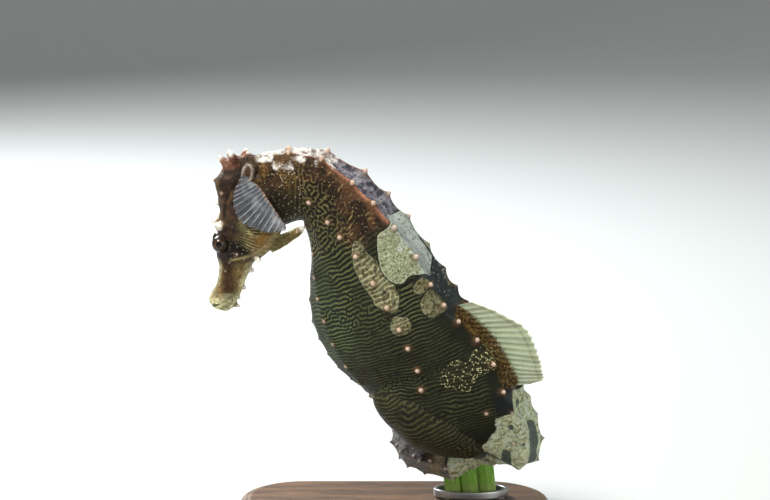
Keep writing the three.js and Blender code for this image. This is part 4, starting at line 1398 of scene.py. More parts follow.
# ---------------------------------------------------------------- the skin's flat map
TRUNK_STRIP = 0
TAIL_STRIP = 1
COIL_STRIP = 2
TAIL_TIP_STRIP = 3
HEAD_STRIP = 4
CROWN_END_STRIP = 5
MOUTH_END_STRIP = 6
POUCH_STRIP = 7
CROWN_WALL_STRIP = 8
CROWN_BOWL_STRIP = 9
FIRST_HORN_STRIP = 10
TRUNK_STRIP_END = 13.3  # rings at which the body's strips end
TAIL_STRIP_END = 21.5
CROWN_MAP_RADIUS = 2.9


def strip_codes(known):
    """The strip of the map that each point belongs to."""
    chart, quad, ring = known["chart"], known["quad"], known["ring"]
    codes = chart - FIRST_HORN + FIRST_HORN_STRIP
    body, head, crown = chart == 0, chart == HEAD_CHART, chart == CROWN
    ends = [ring[body] < TRUNK_STRIP_END, ring[body] < TAIL_STRIP_END]
    codes[body] = np.select(ends, [TRUNK_STRIP, TAIL_STRIP], COIL_STRIP)
    codes[body & (row_of(quad, BODY_COLUMNS) >= BODY_STEPS - 1)] = TAIL_TIP_STRIP
    row = row_of(quad, HEAD_COLUMNS)
    codes[head] = HEAD_STRIP
    codes[head & (row < 0)] = CROWN_END_STRIP
    codes[head & (row >= HEAD_STEPS - 1)] = MOUTH_END_STRIP
    codes[chart == POUCH] = POUCH_STRIP
    codes[crown] = np.where(row[crown] >= CROWN_WALL_STEPS - 1, CROWN_BOWL_STRIP, CROWN_WALL_STRIP)
    return codes


def body_length_table(stations):
    rings = np.linspace(0, len(stations) - 1, 2000)
    centre = frames(stations, rings)[0]
    length = np.concatenate([[0], np.cumsum(np.linalg.norm(np.diff(centre, axis=0), axis=1))])
    return rings, length


def sweep_map(stations, points, guess):
    ring, girth, _ = locate(stations, points, guess)
    _, _, _, half_depth, half_width, _ = frames(stations, ring)
    rings, length = body_length_table(stations)
    return girth, np.interp(ring, rings, length), (half_depth + half_width) / 2


def cap_map(stations, ring, points):
    centre, dorsal, left, _, _, _ = frames(stations, ring)
    offset = points - centre
    return np.stack([offset @ left[0], offset @ dorsal[0]], axis=1)


def pouch_map(points):
    """The pouch spread flat round its lowest side."""
    ball = unit(in_pouch(points)[0])
    sign = 1 if pouch_axes()[2][2] < 0 else -1
    spread = np.sqrt(2 / np.maximum(1 + sign * ball[:, 2], 0.02))[:, None]
    return ball[:, :2] * spread * [POUCH_HALF_LENGTH * 0.8, POUCH_HALF_WIDTH]


def crown_level(points):
    """Places ahead and aside of the coronet's axis."""
    offset = points - CROWN_FOOT
    return offset @ CROWN_FORWARD, offset @ CROWN_ACROSS


def crown_wall_map(points):
    ahead, aside = crown_level(points)
    height = (points - CROWN_FOOT) @ CROWN_AXIS + 0.4 * np.hypot(ahead, aside)
    return np.arctan2(aside, ahead), height


def corner_places(mesh):
    corners = np.empty(len(mesh.loops), np.int32)
    mesh.loops.foreach_get("vertex_index", corners)
    starts = np.empty(len(mesh.polygons), np.int32)
    mesh.polygons.foreach_get("loop_start", starts)
    sizes = np.empty(len(mesh.polygons), np.int32)
    mesh.polygons.foreach_get("loop_total", sizes)
    return corners, starts, sizes


def rolled_out(angle, first, radius):
    """An angle as a length across a strip, without a jump between a face's corners."""
    turned = first + (angle - first + np.pi) % (2 * np.pi) - np.pi
    return turned * radius


def swept_strip(stations, spots, guess, start):
    angle, along, radius = sweep_map(stations, spots, guess)
    return np.stack([rolled_out(angle, start, radius), along], axis=1)


def crown_wall_strip(spots, firsts):
    angle, height = crown_wall_map(spots)
    start = crown_wall_map(firsts)[0]
    return np.stack([rolled_out(angle, start, CROWN_MAP_RADIUS), height], axis=1)


def horn_strip(horn, spots, firsts):
    foot, tip, radius, _ = horn
    axis = unit(tip - foot)
    across = unit(np.cross([0, -1, 0.2], axis))
    other = np.cross(axis, across)

    def turn(spot):
        return np.arctan2((spot - foot) @ other, (spot - foot) @ across)

    height = (spots - foot) @ axis
    return np.stack([rolled_out(turn(spots), turn(firsts), radius), height], axis=1)


def strip_places(code, known, spots, heads):
    """Where face corners lie in their strip; heads are the first points of the corners' faces."""
    firsts = known["points"][heads]
    if code in (TRUNK_STRIP, TAIL_STRIP, COIL_STRIP):
        return swept_strip(BODY, spots, known["ring"][heads], known["girth"][heads])
    if code == HEAD_STRIP:
        return swept_strip(HEAD, spots, known["head_ring"][heads], known["head_girth"][heads])
    if code == TAIL_TIP_STRIP:
        return cap_map(BODY, TAIL_END, spots)
    if code == CROWN_END_STRIP:
        return cap_map(HEAD, 0, spots)
    if code == MOUTH_END_STRIP:
        return cap_map(HEAD, len(HEAD_ROWS) - 1, spots)
    if code == POUCH_STRIP:
        return pouch_map(spots)
    if code == CROWN_WALL_STRIP:
        return crown_wall_strip(spots, firsts)
    if code == CROWN_BOWL_STRIP:
        return np.stack(crown_level(spots), axis=1)
    return horn_strip(HORNS[code - FIRST_HORN_STRIP], spots, firsts)


def map_skin(mesh, known):
    """Gives the skin a flat map of strips rolled out side by side, with a margin between them.

    A face lies in the strip of its first corner, so a few faces at a strip's edge may overlap others.
    """
    corners, starts, sizes = corner_places(mesh)
    face_code = strip_codes(known)[corners[starts]]
    first = np.repeat(corners[starts], sizes)
    corner_code = np.repeat(face_code, sizes)
    place = np.zeros((len(corners), 2))
    boxes = {}
    for code in np.unique(face_code):
        own = np.where(corner_code == code)[0]
        place[own] = strip_places(code, known, known["points"][corners[own]], first[own])
        low, high = place[own].min(axis=0), place[own].max(axis=0)
        boxes[code] = (low, high - low)
    side = pack_strips(boxes, place, corner_code)
    layer = mesh.uv_layers.new(name="OFBake")
    layer.data.foreach_set("uv", (place / side).astype(np.float32).ravel())


def pack_strips(boxes, place, corner_code, margin=1.0):
    """Sets the strips on shelves in a square; returns its side."""
    area = sum((size[0] + margin) * (size[1] + margin) for _, size in boxes.values())
    side = math.sqrt(area) * 1.02
    order = sorted(boxes, key=lambda code: -boxes[code][1][1])
    while True:
        x, y, shelf, spots = margin / 2, margin / 2, 0, {}
        for code in order:
            width, height = boxes[code][1] + margin
            if x + width > side:
                x, y, shelf = margin / 2, y + shelf, 0
            spots[code] = np.array([x, y])
            x += width
            shelf = max(shelf, height)
        if y + shelf <= side:
            break
        side *= 1.01
    for code, spot in spots.items():
        own = corner_code == code
        place[own] += spot - boxes[code][0]
    return side


def build_skin():
    surfaces = skin_surfaces()
    skin = remeshed("seahorse_skin", surfaces)
    known = settle_shape(skin.data, surfaces)
    head = known["chart"] == HEAD_CHART
    last = len(HEAD_ROWS) - 1
    share = row_of(known["quad"], HEAD_COLUMNS) / (HEAD_STEPS - 1)
    guess = np.clip(np.where(head, share * last, 0), 0, last)
    known["head_ring"], known["head_girth"], _ = locate(HEAD, known["points"], guess)
    mark_skin(skin.data, known)
    map_skin(skin.data, known)
    return skin


# ---------------------------------------------------------------- materials
class Graph:
    """One material's nodes.  Values passed in are numbers, colours or other nodes' outputs."""

    def __init__(self, name):
        self.material = bpy.data.materials.new(name)
        self.material.use_nodes = True
        self.tree = self.material.node_tree
        self.shader = self.tree.nodes["Principled BSDF"]
        self.place = self.tree.nodes.new("ShaderNodeTexCoord").outputs["Object"]

    def feed(self, socket, value):
        if isinstance(value, bpy.types.NodeSocket):
            self.tree.links.new(value, socket)
        elif hasattr(value, "__len__") and len(value) == 3 and socket.type == "RGBA":
            socket.default_value = (*value, 1)
        else:
            socket.default_value = value

    def surface(self, **values):
        for name, value in values.items():
            self.feed(self.shader.inputs[name.replace("_", " ").title().replace("Ior", "IOR")], value)

    def attribute(self, name, output="Fac"):
        node = self.tree.nodes.new("ShaderNodeAttribute")
        node.attribute_name = name
        return node.outputs[output]

    def math(self, operation, a, b=0.0, c=0.0, clamp=False):
        node = self.tree.nodes.new("ShaderNodeMath")
        node.operation = operation
        node.use_clamp = clamp
        for socket, value in zip(node.inputs, (a, b, c)):
            self.feed(socket, value)
        return node.outputs[0]

    def add(self, a, b):
        return self.math("ADD", a, b)

    def times(self, a, b):
        return self.math("MULTIPLY", a, b)

    def step(self, value, low, high, start=0.0, end=1.0):
        """A smooth step from start to end as value goes from low to high."""
        node = self.tree.nodes.new("ShaderNodeMapRange")
        node.interpolation_type = "SMOOTHSTEP"
        for socket, number in zip(node.inputs, (value, low, high, start, end)):
            self.feed(socket, number)
        return node.outputs["Result"]

    def mix(self, share, a, b, blend="MIX"):
        node = self.tree.nodes.new("ShaderNodeMix")
        node.data_type = "RGBA"
        node.blend_type = blend
        self.feed(node.inputs[0], share)
        self.feed(node.inputs[6], a)
        self.feed(node.inputs[7], b)
        return node.outputs[2]

    def noise(self, lump, detail=2.0, rough=0.5, vector=None, twist=0.0):
        """Noise from 0 to 1 with lumps of about the given size in millimetres."""
        node = self.tree.nodes.new("ShaderNodeTexNoise")
        self.feed(node.inputs["Vector"], vector or self.place)
        node.inputs["Scale"].default_value = 1 / (lump * MM) if vector is None else 1 / lump
        node.inputs["Detail"].default_value = detail
        node.inputs["Roughness"].default_value = rough
        node.inputs["Distortion"].default_value = twist
        return node.outputs["Fac"]

    def cells(self, lump, feature="F1", vector=None):
        """The distance to the nearest cell's middle, or to its edge, in cells."""
        node = self.tree.nodes.new("ShaderNodeTexVoronoi")
        node.feature = feature
        self.feed(node.inputs["Vector"], vector or self.place)
        node.inputs["Scale"].default_value = 1 / (lump * MM) if vector is None else 1 / lump
        return node.outputs["Distance"]

    def combined(self, x, y, z=0.0):
        node = self.tree.nodes.new("ShaderNodeCombineXYZ")
        for socket, value in zip(node.inputs, (x, y, z)):
            self.feed(socket, value)
        return node.outputs[0]

    def bump(self, height, depth, strength=1.0, below=None):
        """A bump whose height of 1 stands for the given depth in millimetres."""
        node = self.tree.nodes.new("ShaderNodeBump")
        node.inputs["Strength"].default_value = strength
        node.inputs["Distance"].default_value = depth * MM
        self.feed(node.inputs["Height"], height)
        if below is not None:
            self.feed(node.inputs["Normal"], below)
        return node.outputs["Normal"]

    def signed(self, value, size):
        """Noise brought from 0..1 to -size..size."""
        return self.math("MULTIPLY_ADD", value, 2 * size, -size)


def skin_lines(g):
    """The fine pale lines, crisp at their edges and broken here and there."""
    ragged = g.signed(g.noise(0.35, 2, 0.6), 0.35)
    broken = g.step(g.noise(1.7, 2), 0.30, 0.48, 0.35, 1.0)
    line = g.step(g.add(g.attribute("lines"), ragged), -0.1, 0.95)
    return g.times(g.times(line, broken), g.attribute("line_amount"))


def edge_distance(g, name, waver=0.16, lump=0.7):
    return g.add(g.attribute(name), g.signed(g.noise(lump, 2), waver))


def with_lines(g, colour, lines):
    lighter = g.mix(1.0, colour, (3.0, 3.0, 2.5), "MULTIPLY")
    pale = g.mix(1.0, lighter, (0.056, 0.060, 0.022), "ADD")
    groove = g.mix(1.0, colour, (0.55, 0.55, 0.55), "MULTIPLY")
    return g.mix(lines, g.mix(g.attribute("line_amount"), colour, groove), pale)


def with_nape(g, colour):
    """The nape's chalky white with its ragged edge, and rows of white dots below it."""
    chalk = g.add(g.attribute("nape"), g.signed(g.noise(1.9, 5, 0.7), 1.1))
    white = g.mix(g.step(g.noise(1.3, 4, 0.7), 0.40, 0.58), (0.20, 0.17, 0.15), (0.74, 0.72, 0.68))
    colour = g.mix(g.step(chalk, 0.40, 0.95, 0.0, 0.95), colour, white)
    dots = g.step(g.cells(0.62), 0.16, 0.28, 1.0, 0.0)
    return g.mix(g.times(dots, g.attribute("beads")), colour, (0.55, 0.50, 0.36))


def with_dashes(g, colour):
    """Short golden dashes that run down the upper flank."""
    across, along = g.attribute("ring"), g.attribute("stroke_run")
    run = g.combined(g.times(across, 7.0), g.times(along, 0.45), 0.0)
    dash = g.step(g.noise(1.0, 1, 0.5, run), 0.60, 0.68)
    shown = g.times(g.times(dash, g.step(g.noise(1.3, 1), 0.42, 0.60)), g.attribute("dashes"))
    colour = g.mix(g.times(shown, 0.75), colour, (0.34, 0.24, 0.085))
    dots = g.times(g.step(g.cells(0.8), 0.10, 0.2, 1.0, 0.0), g.attribute("dashes"))
    return g.mix(g.times(dots, 0.6), colour, (0.42, 0.33, 0.16))


def with_strokes(g, colour):
    """Fine dark and light strokes across the flat of the back."""
    run = g.combined(g.times(g.attribute("ring"), 9.0), g.times(g.attribute("stroke_run"), 0.7), 0.0)
    grain = g.noise(1.0, 2, 0.6, run)
    dark = g.times(g.step(grain, 0.54, 0.64), g.attribute("strokes"))
    colour = g.mix(g.times(dark, 0.6), colour, (0.014, 0.016, 0.024))
    light = g.times(g.step(grain, 0.32, 0.42, 1.0, 0.0), g.attribute("strokes"))
    return g.mix(g.times(light, 0.6), colour, (0.44, 0.43, 0.44))


def with_oval(g, colour, lines):
    distance = edge_distance(g, "oval", 0.38, 1.5)
    inside = g.step(distance, -0.04, 0.06)
    grain = g.noise(0.55, 3, 0.7)
    ground = g.mix(g.step(grain, 0.42, 0.62), (0.040, 0.032, 0.014), (0.150, 0.140, 0.070))
    broad = g.step(g.noise(1.7, 2, 0.6), 0.44, 0.60)
    ground = g.mix(g.times(broad, 0.55), ground, (0.200, 0.195, 0.115))
    ground = g.mix(g.times(lines, 0.75), ground, (0.40, 0.38, 0.21))
    spot = g.step(g.noise(1.1, 2, 0.6), 0.36, 0.44, 0.75, 0.0)
    ground = g.mix(spot, ground, (0.026, 0.019, 0.009))
    rim = g.step(g.math("ABSOLUTE", g.math("SUBTRACT", distance, 0.05)), 0.02, 0.09, 1.0, 0.0)
    ground = g.mix(g.times(rim, g.step(g.noise(1.1, 1), 0.4, 0.6, 0.15, 0.7)), ground, (0.24, 0.25, 0.15))
    shown = g.mix(inside, colour, ground)
    shade = g.step(distance, -0.35, -0.05)
    dark = g.mix(g.times(shade, g.step(distance, -0.04, 0.0, 0.6, 0.0)), shown, (0.018, 0.018, 0.010))
    return dark, inside


def with_cream(g, colour):
    distance = edge_distance(g, "cream", 0.12)
    inside = g.step(distance, -0.05, 0.05)
    grain = g.noise(0.5, 3, 0.7)
    ground = g.mix(g.step(grain, 0.35, 0.7), (0.15, 0.16, 0.085), (0.40, 0.43, 0.28))
    high = g.add(g.attribute("high"), g.signed(g.noise(2.0, 3, 0.6), 1.1))
    ground = g.mix(g.step(high, 0.15, 1.0, 0.0, 0.8), ground, (0.46, 0.52, 0.50))
    smudge = g.step(g.noise(1.3, 3, 0.65), 0.53, 0.66, 0.0, 0.6)
    ground = g.mix(smudge, ground, (0.15, 0.165, 0.095))
    fringe = g.step(distance, 0.2, 2.2, 0.40, 0.29)
    crowd = g.step(g.noise(1.6, 1), 0.35, 0.65, 0.5, 1.15)
    speck = g.math("LESS_THAN", g.cells(0.62), g.times(fringe, crowd))
    ground = g.mix(g.times(speck, 0.85), ground, (0.075, 0.072, 0.035))
    rim = g.step(distance, 0.0, 0.22, 1.0, 0.0)
    ground = g.mix(g.times(rim, 0.6), ground, (0.40, 0.43, 0.32))
    shown = g.mix(inside, colour, ground)
    shade = g.times(g.step(distance, -0.4, -0.08), g.step(distance, -0.05, 0.0, 0.75, 0.0))
    return g.mix(shade, shown, (0.012, 0.012, 0.008)), inside


def with_net(g, colour):
    distance = edge_distance(g, "net", 0.45, 1.0)
    inside = g.step(distance, -0.05, 0.25)
    strand = g.step(g.cells(1.5, "DISTANCE_TO_EDGE"), 0.07, 0.14, 1.0, 0.0)
    beads = g.step(g.cells(0.40), 0.24, 0.42, 1.0, 0.0)
    strength = g.times(g.times(strand, beads), inside)
    border = g.step(g.math("ABSOLUTE", distance), 0.03, 0.18, 1.0, 0.0)
    strength = g.math("MAXIMUM", strength, g.times(border, beads))
    base = g.mix(g.times(inside, 0.5), colour, (0.024, 0.018, 0.008))
    return g.mix(strength, base, (0.55, 0.55, 0.26))


def with_pale_tail(g, colour):
    distance = edge_distance(g, "pale", 0.9, 2.2)
    inside = g.step(distance, -0.15, 0.2)
    grain = g.noise(0.7, 4, 0.7)
    ground = g.mix(g.step(grain, 0.36, 0.60), (0.17, 0.18, 0.08), (0.56, 0.60, 0.40))
    ground = g.mix(g.step(g.noise(1.8, 3, 0.6), 0.5, 0.66, 0.0, 0.7), ground, (0.46, 0.52, 0.44))
    rust = g.step(g.noise(1.5, 2, 0.6), 0.32, 0.38, 0.6, 0.0)
    ground = g.mix(rust, ground, (0.085, 0.055, 0.026))
    blotch = g.step(g.noise(3.4, 3, 0.55), 0.60, 0.65)
    slate = g.step(edge_distance(g, "slate", 0.5, 0.9), -0.1, 0.15)
    blotch = g.math("MAXIMUM", blotch, slate)
    ground = g.mix(g.times(blotch, 0.9), ground, (0.040, 0.058, 0.054))
    return g.mix(inside, colour, ground)


def skin_material():
    g = Graph("seahorse_skin")
    tips, bases = g.attribute("tips"), g.attribute("bases")
    lines = skin_lines(g)
    mottle = g.noise(0.42, 4, 0.7)
    shading = g.mix(g.step(mottle, 0.3, 0.7), (0.5, 0.5, 0.5), (1.5, 1.5, 1.5))
    colour = g.mix(1.0, g.attribute("tint", "Color"), shading, "MULTIPLY")
    colour = with_lines(g, colour, lines)
    colour = with_dashes(g, colour)
    colour = with_strokes(g, colour)
    colour = with_nape(g, colour)
    fuzz = g.attribute("fuzz")
    run = g.combined(g.times(g.attribute("ring"), 7.0), g.times(g.attribute("stroke_run"), 1.0), 0.0)
    hair = g.noise(1.0, 3, 0.75, run)
    colour = g.mix(g.times(fuzz, g.step(hair, 0.52, 0.62, 0.0, 0.85)), colour, (0.20, 0.135, 0.040))
    colour = g.mix(g.times(fuzz, g.step(hair, 0.44, 0.52, 0.95, 0.0)), colour, (0.014, 0.009, 0.004))
    stipple = g.step(g.cells(0.42), 0.14, 0.26, 1.0, 0.0)
    colour = g.mix(g.times(fuzz, g.times(stipple, 0.7)), colour, (0.26, 0.19, 0.07))
    colour = with_net(g, colour)
    colour, oval = with_oval(g, colour, lines)
    colour, cream = with_cream(g, colour)
    colour = with_pale_tail(g, colour)
    ink = g.step(edge_distance(g, "ink", 0.25), -0.05, 0.08)
    colour = g.mix(ink, colour, (0.009, 0.011, 0.011))
    gold = g.attribute("gold")
    worm = g.step(g.math("ABSOLUTE", g.signed(g.noise(0.5, 1.5, 0.6), 1.0)), 0.04, 0.16, 1.0, 0.0)
    worm = g.times(worm, g.step(g.noise(1.5, 1), 0.40, 0.60, 0.2, 1.0))
    colour = g.mix(g.times(g.times(worm, gold), 0.8), colour, (0.23, 0.135, 0.035))
    star = g.step(g.cells(0.62), 0.1, 0.2, 1.0, 0.0)
    colour = g.mix(g.times(star, g.times(gold, 0.8)), colour, (0.45, 0.37, 0.20))
    colour = g.mix(g.times(bases, 0.5), colour, (0.095, 0.046, 0.016))
    colour = g.mix(g.times(tips, 0.9), colour, (0.64, 0.46, 0.35))
    fine = g.noise(0.16, 3, 0.7)
    pits = g.cells(0.3)
    rough = g.step(fine, 0.3, 0.7, 0.34, 0.62)
    low = g.bump(fine, 0.06)
    middle = g.bump(pits, 0.06, 0.8, low)
    coarse = g.bump(mottle, 0.10, 0.8, middle)
    top = g.bump(lines, 0.10, 1.0, coarse)
    raised = g.bump(g.math("MAXIMUM", cream, oval), 0.14, 1.0, top)
    g.surface(base_color=colour, roughness=rough, normal=raised)
    g.surface(subsurface_weight=0.04, subsurface_scale=0.0008, specular_ior_level=0.13)
    g.shader.inputs["Subsurface Radius"].default_value = (1.0, 0.5, 0.3)
    return g.material


def eye_material():
    g = Graph("eye")
    away = g.attribute("away")
    streak = g.noise(0.5, 3, 0.6, g.attribute("streak", "Vector"))
    iris = g.mix(g.step(streak, 0.35, 0.65), (0.010, 0.006, 0.004), (0.045, 0.024, 0.009))
    white = g.mix(g.noise(0.7, 2), (0.012, 0.008, 0.005), (0.030, 0.018, 0.010))
    colour = g.mix(g.step(away, 40, 46), iris, white)
    ring = g.step(g.math("ABSOLUTE", g.math("SUBTRACT", away, 22.0)), 0.6, 2.2, 1.0, 0.0)
    colour = g.mix(g.times(ring, 0.6), colour, (0.20, 0.11, 0.035))
    colour = g.mix(g.step(away, 19.5, 21.5, 1.0, 0.0), colour, (0.002, 0.002, 0.002))
    g.surface(base_color=colour, roughness=0.2, specular_ior_level=0.25)
    g.surface(coat_weight=0.08, coat_roughness=0.04)
    return g.material


def fin_glow(g, film, light, along):
    """Cloudy patches that lighten a fin's membrane towards its foot."""
    cloud = g.step(g.noise(1.8, 2), 0.44, 0.66)
    return g.mix(g.times(cloud, g.step(along, 0.25, 0.95, 0.8, 0.15)), film, light)


def fin_material(name, membrane, glow, ray, foot, clear, thin=0.3, margin=0.0):
    g = Graph(name)
    rays, along = g.attribute("ray"), g.attribute("along")
    bend = g.signed(g.noise(1.6, 1), 0.05)
    split = g.math("COSINE", g.times(g.add(rays, bend), 2 * math.pi))
    bar = g.step(split, thin, 0.97)
    joints = g.step(g.math("SINE", g.times(along, 150)), 0.55, 0.95, 0.0, 0.3)
    speck = g.noise(0.35, 3, 0.7)
    film = g.mix(g.step(speck, 0.3, 0.7), membrane, tuple(min(1, 1.3 * v) for v in membrane))
    film = fin_glow(g, film, glow, along)
    bars = g.mix(joints, ray, tuple(0.8 * v for v in ray))
    strength = g.step(g.noise(2.6, 2), 0.36, 0.62, 0.15, 0.8)
    inner = g.step(along, 0.80, 0.88, 1.0, 1.0 - margin)
    colour = g.mix(g.times(g.times(bar, strength), inner), film, bars)
    hem = g.step(g.math("ABSOLUTE", g.math("SUBTRACT", along, 0.86)), 0.01, 0.05, 0.45 * margin, 0.0)
    colour = g.mix(hem, colour, tuple(0.6 * v for v in membrane))
    colour = g.mix(g.step(along, 0.965, 0.99, 0.0, margin), colour, tuple(1.3 * v for v in ray))
    lump = g.signed(g.noise(0.6, 3, 0.75), 0.16)
    near_foot = g.step(g.add(along, lump), foot[1], foot[2], 1.0, 0.0)
    fuzzy = g.mix(g.step(g.noise(0.36, 3, 0.8), 0.42, 0.60), foot[0], tuple(6.5 * v for v in foot[0]))
    colour = g.mix(near_foot, colour, fuzzy)
    if clear < 1:
        solid = g.math("MAXIMUM", g.math("MAXIMUM", bar, near_foot), g.step(along, 0.2, 0.75, 0.95, clear))
        edge = g.step(along, 0.95, 0.99)
        g.surface(alpha=g.math("MAXIMUM", solid, g.times(edge, 0.8)))
    g.surface(base_color=colour, roughness=g.step(speck, 0.3, 0.7, 0.32, 0.5), specular_ior_level=0.35)
    g.surface(subsurface_weight=0.2, subsurface_scale=0.0006)
    g.surface(normal=g.bump(split, 0.025, 0.8, g.bump(speck, 0.03)))
    return g.material


def leaf_material():
    g = Graph("eelgrass")
    across, along = g.attribute("across"), g.attribute("along")
    grain = g.combined(g.times(across, 9.0), g.times(along, 0.25), 0.0)
    veins = g.math("SINE", g.times(across, 62.0))
    streak = g.noise(0.6, 3, 0.6, grain)
    colour = g.mix(g.step(streak, 0.3, 0.7), (0.10, 0.29, 0.010), (0.26, 0.56, 0.030))
    colour = g.mix(g.times(g.step(veins, 0.4, 0.95), 0.35), colour, (0.26, 0.56, 0.06))
    rib = g.step(g.math("ABSOLUTE", across), 0.03, 0.1, 1.0, 0.0)
    colour = g.mix(g.times(rib, 0.5), colour, (0.34, 0.62, 0.10))
    old = g.step(g.add(g.noise(2.2, 3), g.step(along, 22.0, 34.0, 0.0, 0.14)), 0.6, 0.74)
    colour = g.mix(g.times(old, 0.7), colour, (0.22, 0.17, 0.035))
    foot = g.step(along, 0.5, 4.0, 0.6, 0.0)
    colour = g.mix(foot, colour, (0.42, 0.46, 0.17))
    cut = g.attribute("cut")
    pith = g.mix(g.step(g.cells(0.25), 0.2, 0.5), (0.16, 0.22, 0.04), (0.52, 0.56, 0.24))
    colour = g.mix(cut, colour, pith)
    g.surface(base_color=colour, roughness=g.step(streak, 0.3, 0.7, 0.22, 0.4), coat_weight=0.35)
    g.surface(coat_roughness=0.12, normal=g.bump(veins, 0.035, 0.8, g.bump(streak, 0.05)))
    return g.material


def steel_material():
    g = Graph("brushed_steel")
    brushed = g.noise(0.12, 3, 0.6, g.attribute("brush", "Vector"))
    colour = g.mix(brushed, (0.36, 0.37, 0.38), (0.56, 0.56, 0.56))
    g.surface(base_color=colour, metallic=1.0, roughness=g.step(brushed, 0.25, 0.75, 0.24, 0.42))
    g.surface(normal=g.bump(brushed, 0.012))
    return g.material


def wood_material():
    g = Graph("walnut")
    x, y = g.attribute("grain_x"), g.attribute("grain_y")
    drift = g.noise(9.0, 3, 0.55, g.combined(g.times(x, 0.25), y, 0.0))
    rings = g.math("SINE", g.add(g.times(y, 1.15), g.times(drift, 17.0)))
    fibre = g.noise(0.5, 4, 0.65, g.combined(g.times(x, 0.06), y, 0.0))
    pores = g.step(g.noise(0.28, 2, 0.5, g.combined(g.times(x, 0.10), y, 3.0)), 0.60, 0.68)
    colour = g.mix(g.step(rings, -0.9, 0.9), (0.060, 0.028, 0.013), (0.125, 0.062, 0.028))
    colour = g.mix(g.step(fibre, 0.3, 0.7, 0.0, 0.55), colour, (0.17, 0.095, 0.045))
    colour = g.mix(g.times(pores, 0.75), colour, (0.022, 0.011, 0.006))
    worn = g.attribute("edge")
    colour = g.mix(g.times(worn, 0.35), colour, (0.24, 0.14, 0.07))
    g.surface(base_color=colour, roughness=g.step(fibre, 0.3, 0.7, 0.34, 0.5))
    g.surface(coat_weight=0.3, coat_roughness=0.22)
    g.surface(normal=g.bump(pores, -0.03, 0.8, g.bump(fibre, 0.02)))
    return g.material


def floor_material():
    g = Graph("studio_floor")
    g.surface(base_color=(0.44, 0.45, 0.44), roughness=0.9, specular_ior_level=0.1)
    return g.material


# ---------------------------------------------------------------- eyes
def build_eye(name, centre, gaze, material, node):
    """An eyeball with a raised cornea, its pole along the gaze."""
    across = unit(np.cross([0, 0, 1.0], gaze))
    up = np.cross(gaze, across)
    away = np.radians(np.concatenate([np.linspace(2, 60, 30), np.linspace(66, 176, 18)]))
    turn = np.linspace(-np.pi, np.pi, 72, endpoint=False)
    reach = EYE_RADIUS * (1 + 0.065 * bell(away, np.radians(36)))
    level = across * np.cos(turn)[:, None] + up * np.sin(turn)[:, None]
    rows = gaze * np.cos(away)[:, None, None] + level[None] * np.sin(away)[:, None, None]
    points, quads, tips = capped(centre + rows * reach[:, None, None])
    thing = new_mesh(name, points, [*quads, *tips])
    offset = points - centre
    angle = np.degrees(np.arccos(np.clip(unit(offset) @ gaze, -1, 1)))
    spin = np.arctan2(offset @ up, offset @ across)
    streak = np.stack([np.cos(spin) * 2.4, np.sin(spin) * 2.4, np.radians(angle) * 0.5], axis=1)
    set_attribute(thing.data, "away", angle)
    set_vectors(thing.data, "streak", streak)
    finish_piece(thing, material, node)


def set_vectors(mesh, name, values):
    made = mesh.attributes.new(name, "FLOAT_VECTOR", "POINT")
    made.data.foreach_set("vector", np.asarray(values, np.float32).ravel())


def finish_piece(thing, material, *nodes):
    thing.data.materials.append(material)
    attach(thing, "root")
    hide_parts(*nodes)


# ---------------------------------------------------------------- fins
def curve_through(points, share):
    """A smooth curve through points, at shares of its length from 0 to 1."""
    points = np.array(points, float)
    place = np.asarray(share) * (len(points) - 1)
    start = np.clip(np.floor(place), 0, len(points) - 2).astype(int)
    return catmull_rom(points, start, place - start)


def fin_sheet(name, foot, edge, outward, rays, sag, thick, material, node):
    """A fin between two rows of points: a thin closed sheet, thicker along each ray."""
    columns = len(foot)
    steps = 26
    along = np.linspace(0, 1, steps) ** 0.9
    rays_at = np.linspace(0, rays, columns)
    ridge = np.cos(2 * np.pi * rays_at)
    notch = 1 - 0.035 * (1 - np.maximum(ridge, -0.4)) * 0.5
    t = along[None, :, None] * notch[:, None, None]
    middle = foot[:, None] + (edge - foot)[:, None] * t
    bow = np.sin(np.pi * 0.5 * along)[None, :, None]
    ripple = 0.10 * np.sin(2 * np.pi * rays_at / 3.1)[:, None, None] * along[None, :, None] ** 2
    middle = middle + outward[:, None] * (sag * bow + ripple)
    swelling = 0.05 * np.maximum(ridge, -0.5)[:, None] * (1 - 0.5 * along)[None, :]
    half = lerp(thick, 0.07, along**0.8)[None, :] + swelling
    half = half * (np.sin(np.pi * np.linspace(0.04, 0.96, columns)) ** 0.3)[:, None]
    half = np.maximum(half, 0.045)[:, :, None]
    near = middle + outward[:, None] * half
    back = middle - outward[:, None] * half
    loop = np.concatenate([near, back[:, ::-1]], axis=1)
    points = loop.reshape(-1, 3)
    quads = sweep_quads(columns, steps * 2)
    ends = []
    for first, flip in ((0, True), ((columns - 1) * steps * 2, False)):
        for k in range(steps - 1):
            quad = [first + k, first + k + 1, first + 2 * steps - 2 - k, first + 2 * steps - 1 - k]
            ends.append(np.array(quad[::-1] if not flip else quad))
    thing = new_mesh(name, points, [*quads, *ends])
    turn_outward(thing)
    set_attribute(thing.data, "ray", np.repeat(rays_at, steps * 2))
    set_attribute(thing.data, "along", np.tile(np.concatenate([along, along[::-1]]), columns))
    finish_piece(thing, material, node)


def turn_outward(thing):
    """Flips a closed mesh whose faces look inwards."""
    mesh = thing.data
    points = mesh_points(mesh)
    mesh.calc_loop_triangles()
    corners = np.empty(len(mesh.loop_triangles) * 3, np.int32)
    mesh.loop_triangles.foreach_get("vertices", corners)
    a, b, c = (points[corners.reshape(-1, 3)[:, k]] for k in range(3))
    if dot(a, np.cross(b, c)).sum() < 0:
        mesh.flip_normals()


